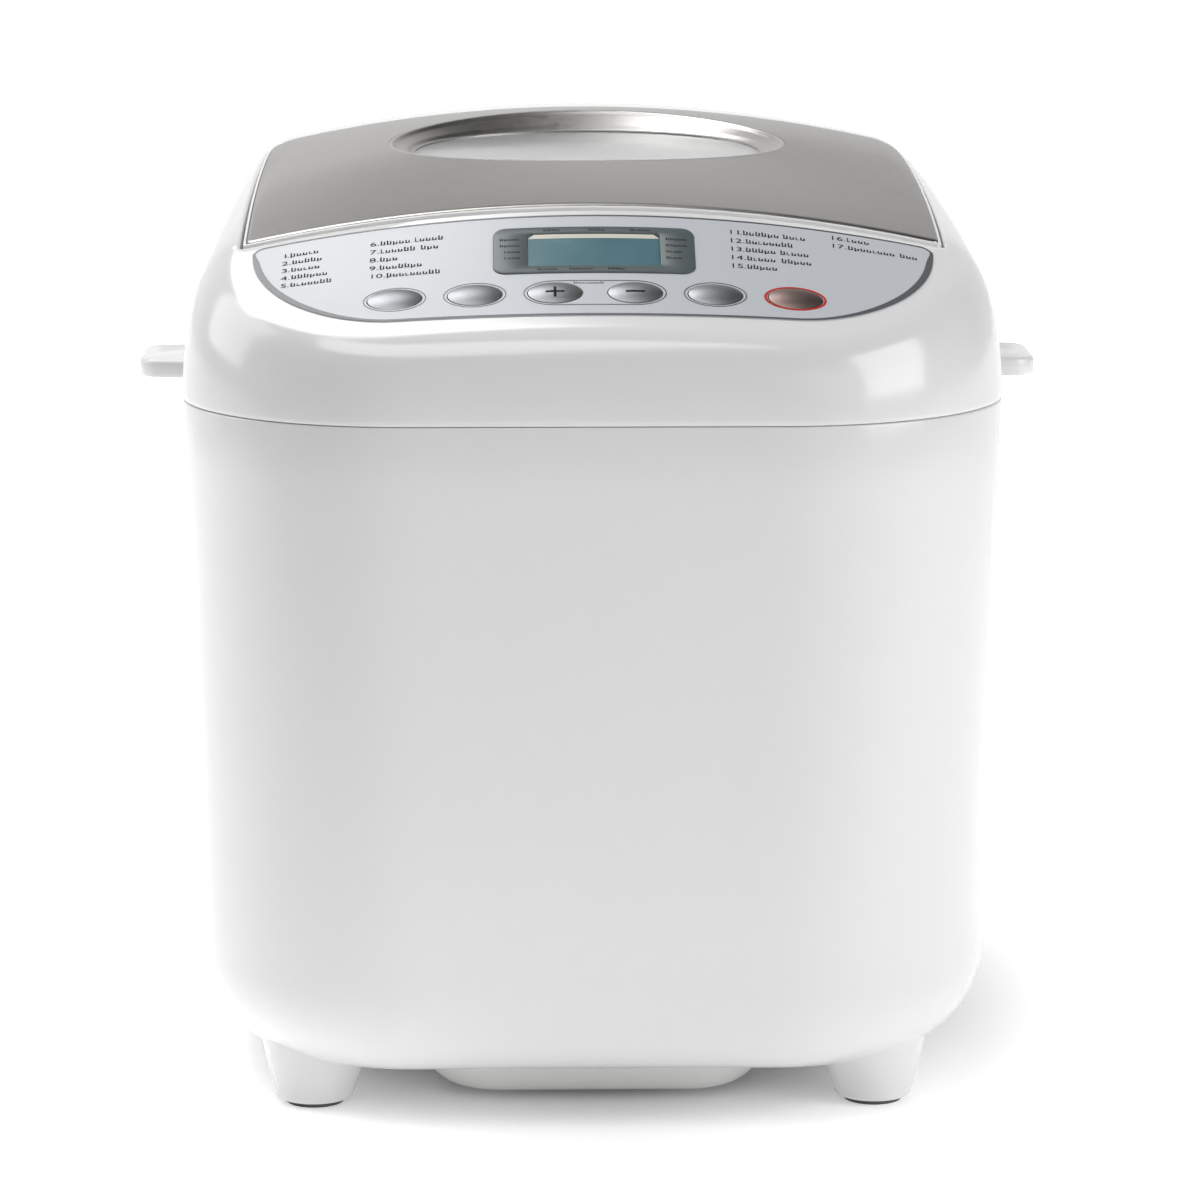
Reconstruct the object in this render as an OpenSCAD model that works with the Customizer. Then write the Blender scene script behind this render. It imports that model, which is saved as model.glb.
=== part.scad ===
// Bread machine: moulded lower body, top housing with a sloped control panel, hinged lid with
// a window, lift-out pan with a kneading paddle, and the belt drive and oven inside.
// Millimetres. Origin at the centre of the footprint on the resting plane, front towards -Y.

/* [Body] */
// Width at the seam
body_w = 250; // [248:1:252]
// Depth at the seam
body_d = 340; // [338:1:342]
// Plan corner radius
corner_r = 70; // [68:1:72]
// Height of the seam between lower body and top housing
seam_z = 216; // [214:1:218]
// Height of the underside
base_z = 13.5; // [13:0.5:14]
// Rounding between wall and underside
bottom_r = 31; // [29:1:32]
// Inward lean of the wall per millimetre of height
draft = 0.0206; // [0.018:0.001:0.024]
// Moulded wall thickness
wall = 2.5; // [2:0.1:3]

/* [Top] */
// Highest point of the lid
crest_z = 289.8; // [288:0.1:291]
// Distance of the crest behind the centre
crest_y = 50; // [45:1:55]
// Slope of the control panel in degrees
panel_tilt = 28; // [27:0.5:29]
// Height of the panel plane at the panel's upper edge
panel_top_z = 272; // [271:0.5:273]

/* [Lid] */
// Half width of the lid opening
opening_w = 106.8; // [106.5:0.1:107.5]
// Front edge of the lid opening
opening_front = -105; // [-106:0.5:-104.5]
// Rear edge of the lid opening
opening_rear = 133.8; // [133.5:0.1:134.5]
// Gap between lid and housing
lid_gap = 0.8; // [0.6:0.1:1]
// Rear edge of the metal skin
skin_rear = 70; // [60:1:72]
// Half width of the window recess
window_a = 63; // [60:1:66]
// Half depth of the window recess
window_b = 52.5; // [48:0.5:53]

/* [Controls] */
// Distance between button centres
button_pitch = 23.7; // [23:0.1:24]
// Button length
button_len = 16; // [15:0.5:17]
// Button width
button_wid = 10.4; // [10:0.2:12]
// Push travel of a button
button_travel = 1; // [0.8:0.1:1.2]

/* [Oven] */
// Centre of the oven behind the centre of the body
oven_y = 14; // [12:1:15]
// Half width of the oven chamber
oven_w = 93; // [91:1:94]
// Half depth of the oven chamber
oven_d = 100; // [98:1:101]
// Half width of the pan at its rim
pan_w = 66; // [64:1:67]
// Half depth of the pan at its rim
pan_d = 84; // [82:1:85]

/* [Drive] */
// Radius of the large pulley
big_pulley_r = 55; // [50:1:56]
// Radius of the motor pulley
small_pulley_r = 11; // [9:1:12]
// Motor axis in front of the centre
motor_y = -126; // [-127:1:-124]
// Radius of the main and pan shafts
shaft_r = 4; // [3.8:0.1:4.2]

/* [Hidden] */
$fn = 48;

hw = body_w / 2;
hd = body_d / 2;
run = 0.05;            // radial clearance of a running fit
arc_steps = 10;        // points along each corner of a ring
side_steps = 6;        // points along each straight of a ring
wall_bend = 0.0041;    // inset of the housing wall per square millimetre of rise
panel_edge_y = -107;   // upper edge of the panel
ledge_z = 266;         // ledge behind the lid
skin_t = 0.7;          // thickness of the metal lid skin
step_t = 1.5;           // step in the lid frame under the skin
frame_t = 2.4;         // thickness of the lid frame
roof_t = 2.6;          // thickness of the housing roof
floor_inset = 40;      // inner edge of the shell's floor, from the wall
floor_levels = 7;      // rings round the lower edge
deck_z = 240.5;        // underside of the inner deck
deck_t = 2.5;          // thickness of the inner deck
lid_w = opening_w - lid_gap;
lid_front = opening_front + lid_gap;
lid_rear = opening_rear - lid_gap;
lid_low_z = 246.5;     // bottom edge of the lid skirt
glass_z = 280.5;       // window glass plane at the centre
glass_slope = 0.06;    // rise of the glass per millimetre towards the rear
hinge_y = 142;
hinge_z = 258;
hinge_x = 70;
pin_r = 2.5;
button_y = -144.5;     // button row
lcd_y = -125;          // display centre
board_drop = 14;       // control board below the panel plane
chassis_z = 44;
chassis_t = 2.5;
oven_z = 60;           // oven floor
seat_z = 66;           // top of the pan seat
pan_z = 84;            // underside of the pan
pan_top = 212;         // pan rim
pulley_z = 24;
pulley_t = 12;
foot_x = 86;
foot_y = 125;
screw_r = 1.5;
post_x = 78;
post_ys = [-90, 0, 96];      // chassis posts and the screws below them
stud_ys = [-60, 88];         // posts between chassis and oven
deck_screw_x = 98;
deck_screw_ys = [-50, 14, 78];
lid_screw_x = 92;
lid_screw_ys = [-76, 96];
liner_z = 245;               // underside of the lid liner's rim
inlet_x = -40;
inlet_z = 60;
heater_r = 3.3;
heater_z = 80;
heater_w = 80;         // half width of the heater loop
heater_d = 88;         // half depth of the heater loop
tail_x = 20;           // heater ends either side of the centre
bail_x = 74;
bail_r = 2;
bail_z = pan_top - 9;
bail_y = pan_d + 5.8;
button_gap = 0.35;     // gap between a button and the panel
film_low = 0.32;       // underside of the panel film above the housing
film_high = 0.62;      // top of the panel film above the housing
film_y = -131;         // centre of the panel film
flange_drop = 5.4;     // underside of a button's flange below the panel

// ---- shape of the upper surface ----
function clamp(v, lo, hi) = min(max(v, lo), hi);
function smooth(a, b, v) = let (t = clamp((v - a) / (b - a), 0, 1)) t * t * (3 - 2 * t);
function smin(a, b, k) = min(a, b) - pow(max(k - abs(a - b), 0), 2) / (4 * k);
function inset(x, y) = let (qx = abs(x) - (hw - corner_r), qy = abs(y) - (hd - corner_r))
  corner_r - min(max(qx, qy), 0) - norm([max(qx, 0), max(qy, 0)]);
function ridge_z(y) = min(panel_top_z + (y - panel_edge_y) * tan(panel_tilt),
  crest_z - 0.00066 * pow(y - crest_y, 2));
function crown_bow(y) = 0.00045 + 0.0006 * clamp((y + 157) / 53, 0, 1)
  + 0.00008 * smooth(-103, 0, y);
function roof_z(x, y) = ridge_z(y) - crown_bow(y) * x * x;
function blend(y) = 24 - 4 * smooth(-150, -110, y);
function skin_z(x, y, d0, drop) = seam_z
  + smin(sqrt(max(inset(x, y) - d0, 0) / wall_bend), roof_z(x, y) - drop - seam_z, blend(y));
function top_z(x, y) = skin_z(x, y, 0, 0);
function ledge(x, y, z) = z - smooth(95, opening_rear - 1, y) * max(z - ledge_z, 0);

// ---- rings and lofts ----
function arc(cx, cy, r, a0, n) = [for (i = [0:n]) let (a = a0 + 90 * i / n)
  [cx + r * cos(a), cy + r * sin(a)]];
function between(p, q, n) = [for (i = [1:n - 1]) p + (q - p) * i / n];
// rounded rectangle, counter-clockwise, with its own radii at the front and the rear
function ring(w, y0, y1, rf, rr, na = arc_steps, ns = side_steps) = concat(
  arc(w - rr, y1 - rr, rr, 0, na), between([w - rr, y1], [rr - w, y1], ns),
  arc(rr - w, y1 - rr, rr, 90, na), between([-w, y1 - rr], [-w, y0 + rf], ns),
  arc(rf - w, y0 + rf, rf, 180, na), between([rf - w, y0], [w - rf, y0], ns),
  arc(w - rf, y0 + rf, rf, 270, na), between([w, y0 + rf], [w, y1 - rr], ns));
function on_ellipse(p, a, b) = let (t = atan2(p.y / b, p.x / a)) [a * cos(t), b * sin(t)];
function mix(p, q, t) = [for (i = [0:len(p) - 1]) p[i] + (q[i] - p[i]) * t];
function at_z(r, z) = [for (p = r) [p.x, p.y, z]];
function band(n, a, b) = [for (i = [0:n - 1]) let (j = (i + 1) % n)
  each [[a * n + i, b * n + j, a * n + j], [a * n + i, b * n + i, b * n + j]]];

// closed shell: the last ring joins the first
module loop_loft(rings) {
  n = len(rings[0]);
  m = len(rings);
  polyhedron(points = [for (r = rings) each r],
    faces = [for (k = [0:m - 1]) each band(n, k, (k + 1) % m)], convexity = 8);
}

// thin sheet between two stacks of rings that both run inwards, closed in the middle or open
module sheet(lower, upper, closed) {
  n = len(upper[0]);
  m = len(upper);
  polyhedron(points = [for (r = concat(lower, upper)) each r],
    faces = concat([for (k = [0:m - 2]) each band(n, m + k, m + k + 1)],
      [for (k = [0:m - 2], f = band(n, k, k + 1)) [f[2], f[1], f[0]]], band(n, 0, m),
      closed ? [[for (i = [0:n - 1]) (m - 1) * n + i], [for (i = [n - 1:-1:0]) (2 * m - 1) * n + i]]
        : band(n, 2 * m - 1, m - 1)), convexity = 8);
}

// closed body: first ring at the bottom, last ring at the top, both capped
module capped_loft(rings) {
  n = len(rings[0]);
  m = len(rings);
  polyhedron(points = [for (r = rings) each r],
    faces = concat([for (k = [0:m - 2]) each band(n, k, k + 1)],
      [[for (i = [0:n - 1]) i]], [[for (i = [n - 1:-1:0]) (m - 1) * n + i]]), convexity = 8);
}

// ---- 2D and fastener helpers ----
module rounded(w, y0, y1, r) {
  translate([-w, y0 + r]) square([2 * w, y1 - y0 - 2 * r]);
  translate([r - w, y0]) square([2 * (w - r), y1 - y0]);
  for (x = [r - w, w - r], y = [y0 + r, y1 - r]) translate([x, y]) circle(r);
}
module plate(w, y0, y1, r, z, t) {
  translate([0, 0, z]) linear_extrude(t) rounded(w, y0, y1, r);
}
// screw with its head's seat at z; flip puts the head below
module screw(x, y, z, flip, len, head) {
  translate([x, y, z]) rotate([flip ? 180 : 0, 0, 0]) {
    cylinder(r = 2 * screw_r, h = head);
    translate([0, 0, -len]) cylinder(r = screw_r, h = len + 0.1);
  }
}
module ellipse(a, b) {
  polygon([for (i = [0:47]) [a * cos(7.5 * i), b * sin(7.5 * i)]]);
}
// frame lying on the control panel at plan position x, y
module on_panel(x, y) {
  translate([x, y, roof_z(x, y)])
    rotate([panel_tilt, atan(2 * crown_bow(y) * x), 0]) children();
}
function button_x(i) = (i - 2.5) * button_pitch;
module button_hole(i, low, high) {
  on_panel(button_x(i), button_y) hull() for (z = [low, high]) translate([0, 0, z])
    linear_extrude(0.1) ellipse(button_len / 2 + button_gap, button_wid / 2 + button_gap);
}

// ---- lower body ----
function bottom_inset(z) = z < base_z + bottom_r
  ? bottom_r - sqrt(max(pow(bottom_r, 2) - pow(base_z + bottom_r - z, 2), 0)) : 0;
function wall_inset(z) = draft * (seam_z - z) + bottom_inset(z);
function body_ring(d, z) = at_z(ring(hw - d, d - hd, hd - d, corner_r - d, corner_r - d), z);
function level_z(i) = base_z + bottom_r * (1 - cos(90 * i / floor_levels));
// inner surface: the wall thins a little round the lower edge, and its levels stay apart
function inner_ring(i) = let (t = i / floor_levels, z = level_z(i))
  body_ring(wall_inset(z) + wall * (0.3 + 0.7 * t), max(z, base_z + wall) + 0.01 * (1 - t));

module body_shell() {
  color("white") difference() {
    loop_loft(concat(
      [body_ring(floor_inset, base_z)],
      [for (i = [0:floor_levels]) body_ring(wall_inset(level_z(i)), level_z(i))],
      [body_ring(0, seam_z - 0.2), body_ring(wall, seam_z - 0.2)],
      [for (i = [floor_levels:-1:0]) inner_ring(i)],
      [body_ring(floor_inset, base_z + wall)]));
    for (i = [-5:5]) hull() for (z = [112, 158])
      translate([8.5 * i, hd + 5, z]) rotate([90, 0, 0]) cylinder(r = 1.6, h = 25, $fn = 16);
    translate([inlet_x, hd + 5, inlet_z]) rotate([90, 0, 0]) cylinder(r = 9.2, h = 25, $fn = 32);
  }
}

// points of a ring put on the roof of the housing, lowered to the ledge behind the lid
function roof_ring(r) = [for (p = r) [p.x, p.y, ledge(p.x, p.y, top_z(p.x, p.y))]];
function under_z(x, y) = let (outer = ledge(x, y, top_z(x, y)), inner = skin_z(x, y, wall, roof_t))
  outer > ledge_z + 1 ? max(ledge(x, y, inner), seam_z) : min(inner, outer - roof_t * 0.9);

module top_housing() {
  outline = ring(hw, -hd, hd, corner_r, corner_r);
  inner = ring(hw - wall, wall - hd, hd - wall, corner_r - wall, corner_r - wall);
  mouth = ring(opening_w, opening_front, opening_rear, 2, 36);
  mouth_in = ring(opening_w + 2, opening_front - 2, opening_rear + 2, 4, 38);
  steps = 9;
  color("white") difference() {
    loop_loft(concat(
      [for (k = [0:steps]) roof_ring(mix(outline, mouth, pow(k / steps, 2)))],
      [at_z(mouth, deck_z + deck_t + 0.2), at_z(mouth_in, deck_z + deck_t + 0.2)],
      [for (k = [steps:-1:0]) [for (p = mix(inner, mouth_in, pow(k / steps, 2)))
        [p.x, p.y, under_z(p.x, p.y)]]]));
    for (i = [0:5]) button_hole(i, -8, 4);
    on_panel(0, lcd_y) hull() for (x = [-26, 26], y = [-9, 9])
      translate([x, y, -8]) cylinder(r = 1.5, h = 14, $fn = 16);
    for (s = [-1, 1]) hull() for (y = [hinge_y - 13, hinge_y + 5])
      translate([s * hinge_x, y, 248]) cylinder(r = 7, h = 26, $fn = 24);
  }
}

module base_plate() {
  edge = floor_inset + 0.3;
  color("lightgray") difference() {
    plate(hw - edge, edge - hd, hd - edge, corner_r - edge, base_z, wall);
    for (x = [-66, -58, 58, 66], y = [20:12:104])
      translate([x, y, base_z - 1]) cylinder(r = 2.5, h = 5);
    translate([0, 0, base_z - 1]) linear_extrude(5) rounded(36, -122, 84, 10);
    for (x = [-post_x, post_x], y = post_ys)
      translate([x, y, base_z - 1]) cylinder(r = screw_r + 0.2, h = 5);
  }
}

module belt_cover() {
  lower = ring(44, -124, 80, 15, 15);
  upper = ring(55, -131, 92, 21, 21);
  centre = [for (p = lower) [0, -22]];
  floor_z = 2.5;
  color("white") loop_loft([
    at_z(mix(lower, centre, 0.9), floor_z), at_z(lower, floor_z),
    at_z(mix(lower, upper, 0.55), floor_z + 2), at_z(upper, base_z - 0.1),
    at_z(mix(lower, upper, 0.8), base_z - 0.1), at_z(mix(lower, upper, 0.35), floor_z + 3.5),
    at_z(mix(lower, centre, 0.06), floor_z + 2.2), at_z(mix(lower, centre, 0.9), floor_z + 2.2)]);
}

// solid of revolution that follows the body's corner, used to shape the tops of the feet
module corner_form(grow) {
  steps = 10;
  rotate_extrude() polygon(concat(
    [[0, base_z - grow]],
    [for (i = [0:steps]) let (z = base_z + bottom_r * (1 - cos(90 * i / steps)))
      [corner_r - wall_inset(z) + grow * sin(90 * i / steps), z - grow * cos(90 * i / steps)]],
    [[0, base_z + bottom_r]]));
}

module feet() {
  color("white") for (sx = [0, 1], sy = [0, 1]) mirror([sx, 0, 0]) mirror([0, sy, 0]) difference() {
    union() {
      translate([foot_x, foot_y, 2.5]) cylinder(r1 = 12.2, r2 = 16, h = 22);
      translate([foot_x, foot_y, 1.6]) cylinder(r1 = 11.4, r2 = 12.2, h = 0.9);
    }
    translate([hw - corner_r, hd - corner_r, 0]) corner_form(0.15);
    translate([foot_x, foot_y, 1]) cylinder(r = 9, h = 1.6);
  }
}

module foot_pads() {
  color("dimgray") for (x = [-foot_x, foot_x], y = [-foot_y, foot_y])
    translate([x, y, 0]) cylinder(r = 8.8, h = 2.5);
}

module side_grips() {
  grip_l = 40;
  grip_r = 8;
  tip_x = 144.5;
  root_x = hw + 0.02;
  color("white") for (s = [0, 1]) mirror([s, 0, 0]) difference() {
    translate([0, 0, seam_z - 6]) linear_extrude(5.8) {
      translate([root_x, -grip_l / 2]) square([tip_x - grip_r - root_x, grip_l]);
      translate([root_x, grip_r - grip_l / 2]) square([tip_x - root_x, grip_l - 2 * grip_r]);
      for (y = [-1, 1]) translate([tip_x - grip_r, y * (grip_l / 2 - grip_r)]) circle(grip_r);
    }
    translate([root_x - 1, 3 - grip_l / 2, seam_z - 7]) cube([tip_x - root_x - 4, grip_l - 6, 4.2]);
  }
}

// ---- control panel ----
module panel_overlay() {
  rim = ring(102.7, -154.7, -108.4, 44, 4, 8, 10);
  core = [for (p = rim) [p.x * 0.02, film_y + (p.y - film_y) * 0.02]];
  steps = 4;
  function film(up) = [for (k = [0:steps]) [for (p = mix(rim, core, k / steps))
    [p.x, p.y, top_z(p.x, p.y) + up]]];
  color("gainsboro") difference() {
    sheet(film(film_low), film(film_high), true);
    for (i = [0:5]) button_hole(i, -3, 3);
    on_panel(0, lcd_y) for (s = [-1, 1]) hull() for (x = [0, 26 * s], y = [-9, 9])
      translate([x, y, -3]) cylinder(r = 1.5, h = 6, $fn = 16);
  }
}

module lcd_bezel() {
  color("dimgray") on_panel(0, lcd_y) difference() {
    union() {
      translate([0, 0, 0.55]) linear_extrude(0.7) rounded(30.2, -12, 12, 4);
      translate([0, 0, -3]) linear_extrude(3.6) rounded(27, -10, 10, 2);
    }
    translate([0, 0, -4]) linear_extrude(8) rounded(19.8, -8.5, 8.5, 1);
  }
}

module lcd_glass() {
  color("cadetblue") on_panel(0, lcd_y) translate([0, 0, -1])
    linear_extrude(1.6) rounded(19.7, -8.4, 8.4, 0.9);
}

module lcd_module() {
  color("darkslategray") on_panel(0, lcd_y) difference() {
    translate([0, 0, -8.2]) linear_extrude(4.6) rounded(29, -11.5, 11.5, 1);
    for (x = [-27, 27], y = [-9.5, 9.5]) translate([x, y, -9]) cylinder(r = 1, h = 7);
  }
}

module control_board() {
  color("darkgreen") on_panel(0, -134) translate([0, 0, -board_drop - 1.6]) difference() {
    linear_extrude(1.6) rounded(78, -22, 22, 3);
    for (x = [-74, 74], y = [-18, 18]) translate([x, y, -1]) cylinder(r = 1.6, h = 4);
  }
}

// a switch base with its plunger, which ends just below the button's fully pressed flange
module tact_switches() {
  base_h = 4;
  reach = board_drop - base_h - flange_drop - button_travel - 0.5;
  color("black") for (i = [0:5])
    let (x = button_x(i), bow = crown_bow(button_y) * x * x * cos(panel_tilt))
      on_panel(0, button_y) translate([x, 0, -board_drop]) {
        translate([-3, -3, 0]) cube([6, 6, base_h]);
        translate([0, 0, base_h - 0.1]) cylinder(r = 1.7, h = reach - bow);
      }
}

module button(i) {
  rise = 1.3;
  cap = [for (j = [0:31]) [cos(11.25 * j), sin(11.25 * j)]];
  function slice(k, z) = [for (p = cap) [p.x * (button_len / 2 - k), p.y * (button_wid / 2 - k), z]];
  on_panel(button_x(i), button_y) {
    capped_loft([slice(0, -3.5), slice(0, 0.6), slice(0.5, 1.05), slice(2, rise), slice(4, rise + 0.25)]);
    translate([0, 0, -flange_drop]) linear_extrude(2) ellipse(button_len / 2 + 1.4, button_wid / 2 + 1.2);
  }
}
module button_menu() { color("gray") button(0); }
module button_weight() { color("gray") button(1); }
module button_plus() { color("gray") button(2); }
module button_minus() { color("gray") button(3); }
module button_colour() { color("gray") button(4); }
module button_start() { color("gray") button(5); }

// ---- inner deck and oven ----
module inner_deck() {
  color("white") difference() {
    plate(114, -106, 150, 40, deck_z, deck_t);
    translate([0, 0, deck_z - 1]) linear_extrude(6) rounded(oven_w, oven_y - oven_d, oven_y + oven_d, 28);
    for (x = [-deck_screw_x, deck_screw_x], y = deck_screw_ys)
      translate([x, y, deck_z - 1]) cylinder(r = screw_r + 0.2, h = 6);
  }
}

module oven_chamber() {
  color("silver") difference() {
    union() {
      plate(oven_w + 1, oven_y - oven_d - 1, oven_y + oven_d + 1, 29, oven_z - 1, deck_z - oven_z + 1);
      plate(oven_w + 9, oven_y - oven_d - 9, oven_y + oven_d + 9, 37, deck_z - 1, 1);
    }
    plate(oven_w, oven_y - oven_d, oven_y + oven_d, 28, oven_z, deck_z);
    translate([0, oven_y, oven_z - 5]) cylinder(r = 12.5, h = 10);
    for (x = [-deck_screw_x, deck_screw_x], y = deck_screw_ys)
      translate([x, y, deck_z - 3]) cylinder(r = screw_r, h = 5);
    for (x = [-tail_x, tail_x]) translate([x, oven_y + oven_d - 6, heater_z])
      rotate([-90, 0, 0]) cylinder(r = heater_r + 0.3, h = 12);
    translate([40, oven_y + oven_d - 6, 100]) rotate([-90, 0, 0]) cylinder(r = 2.6, h = 12);
  }
}

module pan_seat() {
  color("silver") translate([0, oven_y, oven_z]) difference() {
    union() {
      cylinder(r = 52, h = 2);
      difference() {
        cylinder(r = 45, h = seat_z - oven_z);
        translate([0, 0, -1]) cylinder(r = 38, h = 20);
      }
    }
    translate([0, 0, -1]) cylinder(r = 13, h = 20);
  }
}

module pan_clips() {
  color("silver") for (s = [0, 1]) translate([0, oven_y, oven_z + 2]) mirror([s, 0, 0]) {
    translate([47.5, -9, 0]) cube([4, 18, 1]);
    translate([47.5, -9, 0]) cube([1, 18, 20]);
  }
}

module heater_element() {
  w = heater_w;
  d = heater_d;
  c = 26;
  color("dimgray") translate([0, oven_y, heater_z]) {
    for (sx = [0, 1], sy = [0, 1]) mirror([sx, 0, 0]) mirror([0, sy, 0])
      translate([w - c, d - c, 0]) rotate_extrude(angle = 90) translate([c, 0]) circle(heater_r);
    for (x = [-w, w]) translate([x, c - d, 0]) rotate([-90, 0, 0]) cylinder(r = heater_r, h = 2 * (d - c));
    translate([c - w, -d, 0]) rotate([0, 90, 0]) cylinder(r = heater_r, h = 2 * (w - c));
    for (s = [0, 1]) mirror([s, 0, 0]) {
      translate([tail_x, d, 0]) rotate([0, 90, 0]) cylinder(r = heater_r, h = w - c - tail_x);
      translate([tail_x, d, 0]) sphere(heater_r);
      translate([tail_x, d, 0]) rotate([-90, 0, 0]) cylinder(r = heater_r, h = 18);
    }
  }
}

module heater_terminals() {
  color("wheat") for (x = [-tail_x, tail_x])
    translate([x, oven_y + heater_d + 18, heater_z]) rotate([-90, 0, 0]) {
    cylinder(r = 5, h = 8);
    translate([-0.4, -3, 8]) cube([0.8, 6, 8]);
  }
}

module temperature_sensor() {
  color("silver") translate([40, oven_y + oven_d - 14, 100]) rotate([-90, 0, 0]) {
    cylinder(r = 2.5, h = 22);
    translate([0, 0, 15.1]) cylinder(r = 5, h = 2);
  }
}

module thermal_fuse() {
  color("gold") translate([-60, oven_y + oven_d + 3.2, 120]) {
    rotate([0, 90, 0]) cylinder(r = 2, h = 14);
    translate([-3, -2.1, -4]) cube([3, 4, 8]);
    translate([14, -2.1, -4]) cube([3, 4, 8]);
  }
}

// ---- chassis and drive ----
module chassis_plate() {
  color("silver") {
    difference() {
      plate(96, -160, 122, 44, chassis_z, chassis_t);
      translate([0, oven_y, chassis_z - 1]) cylinder(r = 8.1, h = 5);
      translate([0, motor_y, chassis_z - 1]) cylinder(r = 7, h = 5);
      for (x = [-60, 60], y = [-60, 0, 60]) translate([x, y, chassis_z - 1]) cylinder(r = 9, h = 5);
    }
    for (x = [-post_x, post_x], y = post_ys) translate([x, y, base_z + wall]) difference() {
      cylinder(r = 5, h = chassis_z - base_z - wall);
      translate([0, 0, -1]) cylinder(r = screw_r, h = 8);
    }
    for (x = [-post_x, post_x], y = stud_ys)
      translate([x, y, chassis_z + chassis_t]) cylinder(r = 5, h = oven_z - 1 - chassis_z - chassis_t);
  }
}

module main_bearing() {
  color("goldenrod") translate([0, oven_y, 0]) difference() {
    union() {
      translate([0, 0, 40]) cylinder(r = 8, h = 18);
      translate([0, 0, chassis_z + chassis_t]) cylinder(r = 14, h = 3);
    }
    translate([0, 0, 39]) cylinder(r = shaft_r + run, h = 30);
  }
}

module motor_can() {
  can_z = chassis_z + chassis_t;
  color("silver") translate([0, motor_y, 0]) difference() {
    union() {
      translate([0, 0, can_z]) cylinder(r = 32, h = 70);
      translate([-30, -8, can_z + 70]) cube([60, 16, 2]);
    }
    translate([0, 0, can_z + 2]) cylinder(r = 30, h = 66);
    translate([0, 0, can_z - 1]) cylinder(r = 3 + run, h = 5);
    for (a = [0:45:315]) rotate(a) translate([20, 0, can_z - 1]) cylinder(r = 4, h = 5);
  }
}

module motor_rotor() {
  color("gray") translate([0, motor_y, 0]) {
    translate([0, 0, 22]) cylinder(r = 3, h = 90);
    translate([0, 0, 60]) cylinder(r = 22, h = 40);
  }
}

module motor_pulley() {
  color("gray") translate([0, motor_y, pulley_z]) difference() {
    union() {
      cylinder(r = small_pulley_r, h = pulley_t);
      cylinder(r = small_pulley_r + 2, h = 1.5);
      translate([0, 0, pulley_t - 1.5]) cylinder(r = small_pulley_r + 2, h = 1.5);
    }
    translate([0, 0, -1]) cylinder(r = 3, h = pulley_t + 2);
  }
}

module large_pulley() {
  color("ivory") translate([0, oven_y, pulley_z]) difference() {
    union() {
      difference() {
        union() {
          cylinder(r = big_pulley_r, h = pulley_t);
          cylinder(r = big_pulley_r + 2, h = 1.5);
          translate([0, 0, pulley_t - 1.5]) cylinder(r = big_pulley_r + 2, h = 1.5);
        }
        for (z = [-1, pulley_t - 4]) translate([0, 0, z]) cylinder(r = big_pulley_r - 4, h = 5);
      }
      cylinder(r = 10, h = pulley_t);
      for (a = [0:60:300]) rotate(a) translate([0, -1.5, 1]) cube([big_pulley_r - 3, 3, pulley_t - 2]);
    }
    translate([0, 0, -1]) cylinder(r = shaft_r, h = pulley_t + 2);
  }
}

// belt: an arc round each pulley and the two straight runs between them
module drive_belt() {
  gap = 0.3;
  thick = 1.6;
  c = oven_y - motor_y;
  lean = asin((big_pulley_r - small_pulley_r) / c);
  run_l = c * cos(lean);
  color("black") translate([0, oven_y, pulley_z + 2]) {
    rotate(-lean) rotate_extrude(angle = 180 + 2 * lean)
      translate([big_pulley_r + gap, 0]) square([thick, pulley_t - 4]);
    translate([0, -c, 0]) rotate(180 + lean) rotate_extrude(angle = 180 - 2 * lean)
      translate([small_pulley_r + gap, 0]) square([thick, pulley_t - 4]);
    for (s = [0, 1]) mirror([s, 0, 0]) rotate(-lean)
      translate([big_pulley_r + gap, -run_l - 0.05, 0]) cube([thick, run_l + 0.1, pulley_t - 4]);
  }
}

module main_shaft() {
  color("silver") translate([0, oven_y, 20]) cylinder(r = shaft_r, h = 44.5);
}

module drive_coupler() {
  color("gray") translate([0, oven_y, 61.5]) {
    difference() {
      cylinder(r = 10, h = 3.4);
      translate([0, 0, -1]) cylinder(r = shaft_r, h = 4);
    }
    for (s = [0, 1]) mirror([s, 0, 0]) translate([4.5, -2, 3]) cube([4.5, 4, 5]);
  }
}

module run_capacitor() {
  color("black") translate([-60, -132, chassis_z + chassis_t]) {
    cylinder(r = 14, h = 44);
    for (x = [-4, 4]) translate([x - 0.4, -2, 44]) cube([0.8, 4, 6]);
  }
}

module power_board() {
  x = 104;
  color("darkgreen") {
    translate([x, -40, 62]) cube([1.6, 100, 66]);
    translate([x + 1.6, -30, 70]) cube([9, 20, 16]);
    translate([x + 1.6, 0, 72]) cube([9, 16, 22]);
    for (y = [26, 42]) translate([x + 1.6, y, 84]) rotate([0, 90, 0]) cylinder(r = 5, h = 10);
  }
  color("silver") for (y = [-34, 50]) translate([x - 10, y, chassis_z + chassis_t]) difference() {
    cube([10, 6, 30]);
    translate([-1, -1, 2]) cube([9, 8, 40]);
  }
}

module cord_inlet() {
  color("dimgray") translate([inlet_x, 0, inlet_z]) rotate([-90, 0, 0]) difference() {
    union() {
      translate([0, 0, 152]) cylinder(r = 9, h = 15.6);
      translate([0, 0, 167.4]) cylinder(r = 12, h = 1.8);
      translate([0, 0, 160]) cylinder(r = 11.5, h = 2.2);
    }
    translate([0, 0, 150]) cylinder(r = 3.6, h = 22);
  }
}

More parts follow.
